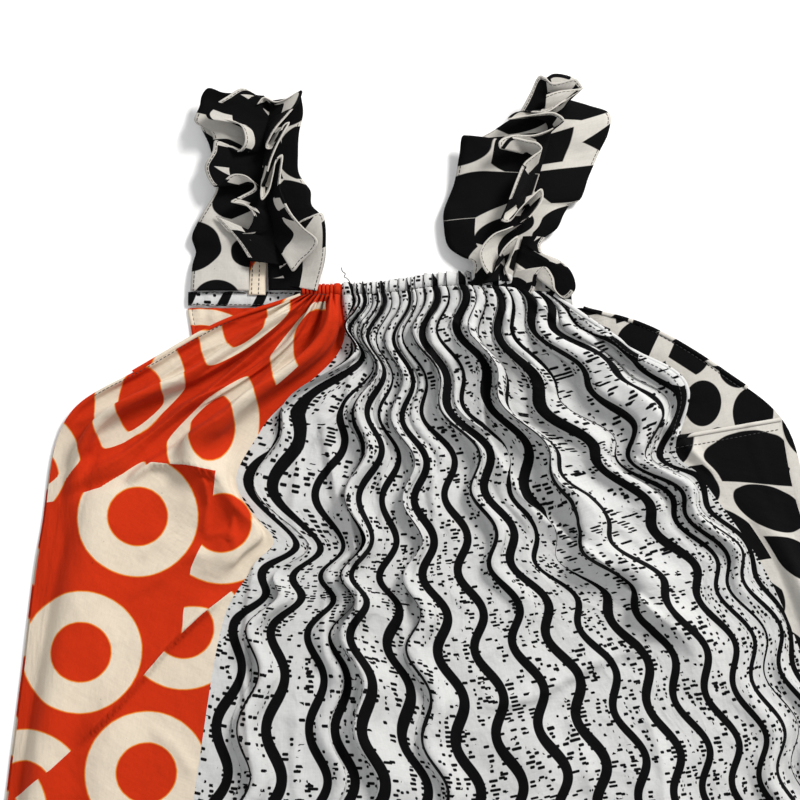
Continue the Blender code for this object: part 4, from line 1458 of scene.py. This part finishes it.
def stitch_rows(name, paths, pieces, pitch=STITCH_PITCH, long=STITCH_LONG, tails=()):
    """Stitches along paths of (x, y) metres from the neck's middle, laid on the cloth under them."""
    ground = ground_of(pieces)
    mesh = bmesh.new()
    for path in paths:
        path = np.array(path)
        gone = np.concatenate([[0], np.cumsum(np.linalg.norm(np.diff(path, axis=0), axis=1))])
        for start in np.arange(0, gone[-1] - long, pitch):
            marks = start + long * np.array([0, 0.25, 0.75, 1])
            spots = np.column_stack([np.interp(marks, gone, path[:, k]) for k in range(2)])
            stitch(mesh, ground, spots + NECK[:2])
    for tail in tails:
        loose_thread(mesh, tail)
    bmesh.ops.delete(mesh, geom=[vert for vert in mesh.verts if not vert.link_faces], context="VERTS")
    bmesh.ops.recalc_face_normals(mesh, faces=mesh.faces)
    data = bpy.data.meshes.new(name)
    mesh.to_mesh(data)
    mesh.free()
    data.shade_smooth()
    thread = bpy.data.objects.new(name, data)
    bpy.context.scene.collection.objects.link(thread)
    return thread


black_thread = bpy.data.materials.new("black sewing thread")
black_thread.use_nodes = True
tree = black_thread.node_tree
fuzz = noise(tree.nodes.new("ShaderNodeTexCoord").outputs["Object"], 2600, 3)
for title, value in (
    ("Base Color", mix_colour(fuzz, (0.004, 0.004, 0.005, 1), (0.022, 0.021, 0.022, 1))),
    ("Normal", bumped(fuzz, 0.0002)),
    ("Roughness", 0.6),
):
    feed(tree.nodes["Principled BSDF"].inputs[title], value)


def row_along(table, offset):
    """A stitched row along a casing, a share of its half width from its middle."""
    table = np.array(table, float)
    xs = np.linspace(table[0, 0], table[-1, 0], 300)
    _, y, half = smooth(table[:, 0], table, xs).T
    return np.column_stack([xs, y + offset * half]) * MM


def inner_edge(cloth, row, column):
    return edge_of(cloth, row, column)[0][:, :2] - NECK[:2]


def beside(points, step):
    """The edge of a tape, a step to one side of its path on the photograph."""
    return along_path([(x + step, y, z) for x, y, z in points], 200)[0][:, :2]


NECK_PITCH = 0.0025
NECK_LONG = 0.0019
ORANGE_ARMHOLE = slice(15, 104)
WAVE_ARMHOLE = slice(15, 113)
pieces = {piece.name: piece for piece in bpy.context.scene.objects}
front = ("front_orange_cloth", "front_wave_cloth", "front_side_cloth")
for name, paths, ground, more in (
    (
        "front_casing_thread",
        [row_along(FRONT_CASING, -0.93)],
        ("front_casing_orange", "front_casing_wave", "front_orange_cloth", "front_wave_cloth"),
        {"pitch": NECK_PITCH, "long": NECK_LONG, "tails": [LOOSE_END]},
    ),
    (
        "back_casing_thread",
        [row_along(BACK_CASING, 0.74), row_along(BACK_CASING, -0.74)],
        ("back_casing_wave",),
        {},
    ),
    (
        "front_armhole_thread",
        [
            inner_edge(orange_cloth, ORANGE_ARMHOLE, 3),
            inner_edge(wave_cloth, WAVE_ARMHOLE, -3),
            inner_edge(side_cloth, 2, slice(None)),
        ],
        front,
        {},
    ),
    (
        "back_armhole_thread",
        [
            inner_edge(pieces["back_orange_cloth"], BACK_ARMHOLE, 2),
            inner_edge(pieces["back_block_cloth"], BACK_ARMHOLE, -3),
        ],
        ("back_orange_cloth", "back_block_cloth"),
        {},
    ),
    ("bottom_hem_thread", [inner_edge(pieces[piece], -8, slice(None)) for piece in front], front, {}),
    (
        "tape_thread",
        [beside(TAPES[side][:3], step) for side in ("left", "right") for step in (-5.5, 1.5)],
        ("left_shoulder_tape", "right_shoulder_tape"),
        {},
    ),
):
    thread = stitch_rows(name, paths, [pieces[piece] for piece in ground], **more)
    thread.data.materials.append(black_thread)
    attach(thread, "root")


# The floor is pale, under soft studio light from the upper right, and the camera stands above the
# dress, leaning a little towards its hem, as the photograph was taken.
FLOOR_HALF = 6
FLOOR_LEVEL = -0.0005
floor_mesh = bpy.data.meshes.new("floor")
ways = ((-1, -1), (1, -1), (1, 1), (-1, 1))
floor_corners = [(x * FLOOR_HALF, y * FLOOR_HALF, FLOOR_LEVEL) for x, y in ways]
floor_mesh.from_pydata(floor_corners, [], [(0, 1, 2, 3)])
floor = bpy.data.objects.new("floor", floor_mesh)
bpy.context.scene.collection.objects.link(floor)
floor_paint = bpy.data.materials.new("pale floor")
floor_paint.use_nodes = True
floor_inputs = floor_paint.node_tree.nodes["Principled BSDF"].inputs
floor_inputs["Base Color"].default_value = (0.93, 0.93, 0.93, 1)
floor_inputs["Roughness"].default_value = 0.9
floor_mesh.materials.append(floor_paint)

TARGET = np.array([*seen(400, 400), 0.004]) + NECK
ELEVATION = math.radians(82)
DISTANCE = 1.5
VIEW_WIDE = 0.520


def soft_light(name, place, size, power, tint):
    """A square area light that looks at the middle of the dress."""
    data = bpy.data.lights.new(name, "AREA")
    data.size = size
    data.energy = power
    data.color = tint
    lamp = bpy.data.objects.new(name, data)
    lamp.location = place
    lamp.rotation_euler = (Vector(TARGET) - Vector(place)).to_track_quat("-Z", "Y").to_euler()
    bpy.context.scene.collection.objects.link(lamp)


soft_light("key", (1.1, 1.3, 1.3), 0.55, 58, (1.0, 0.985, 0.96))
soft_light("fill", (-1.6, 0.2, 1.6), 1.6, 8, (0.94, 0.97, 1.0))
world = bpy.data.worlds.new("studio")
world.use_nodes = True
world.node_tree.nodes["Background"].inputs["Color"].default_value = (1, 1, 1, 1)
world.node_tree.nodes["Background"].inputs["Strength"].default_value = 0.55
bpy.context.scene.world = world
bpy.context.scene.view_settings.view_transform = "Standard"

lens = bpy.data.cameras.new("camera")
lens.sensor_width = 36
lens.lens = lens.sensor_width * DISTANCE / VIEW_WIDE
camera = bpy.data.objects.new("camera", lens)
stand = Vector(TARGET) + DISTANCE * Vector((0, -math.cos(ELEVATION), math.sin(ELEVATION)))
camera.location = stand
camera.rotation_euler = (Vector(TARGET) - stand).to_track_quat("-Z", "Y").to_euler()
bpy.context.scene.collection.objects.link(camera)
bpy.context.scene.camera = camera

bpy.context.view_layer.update()
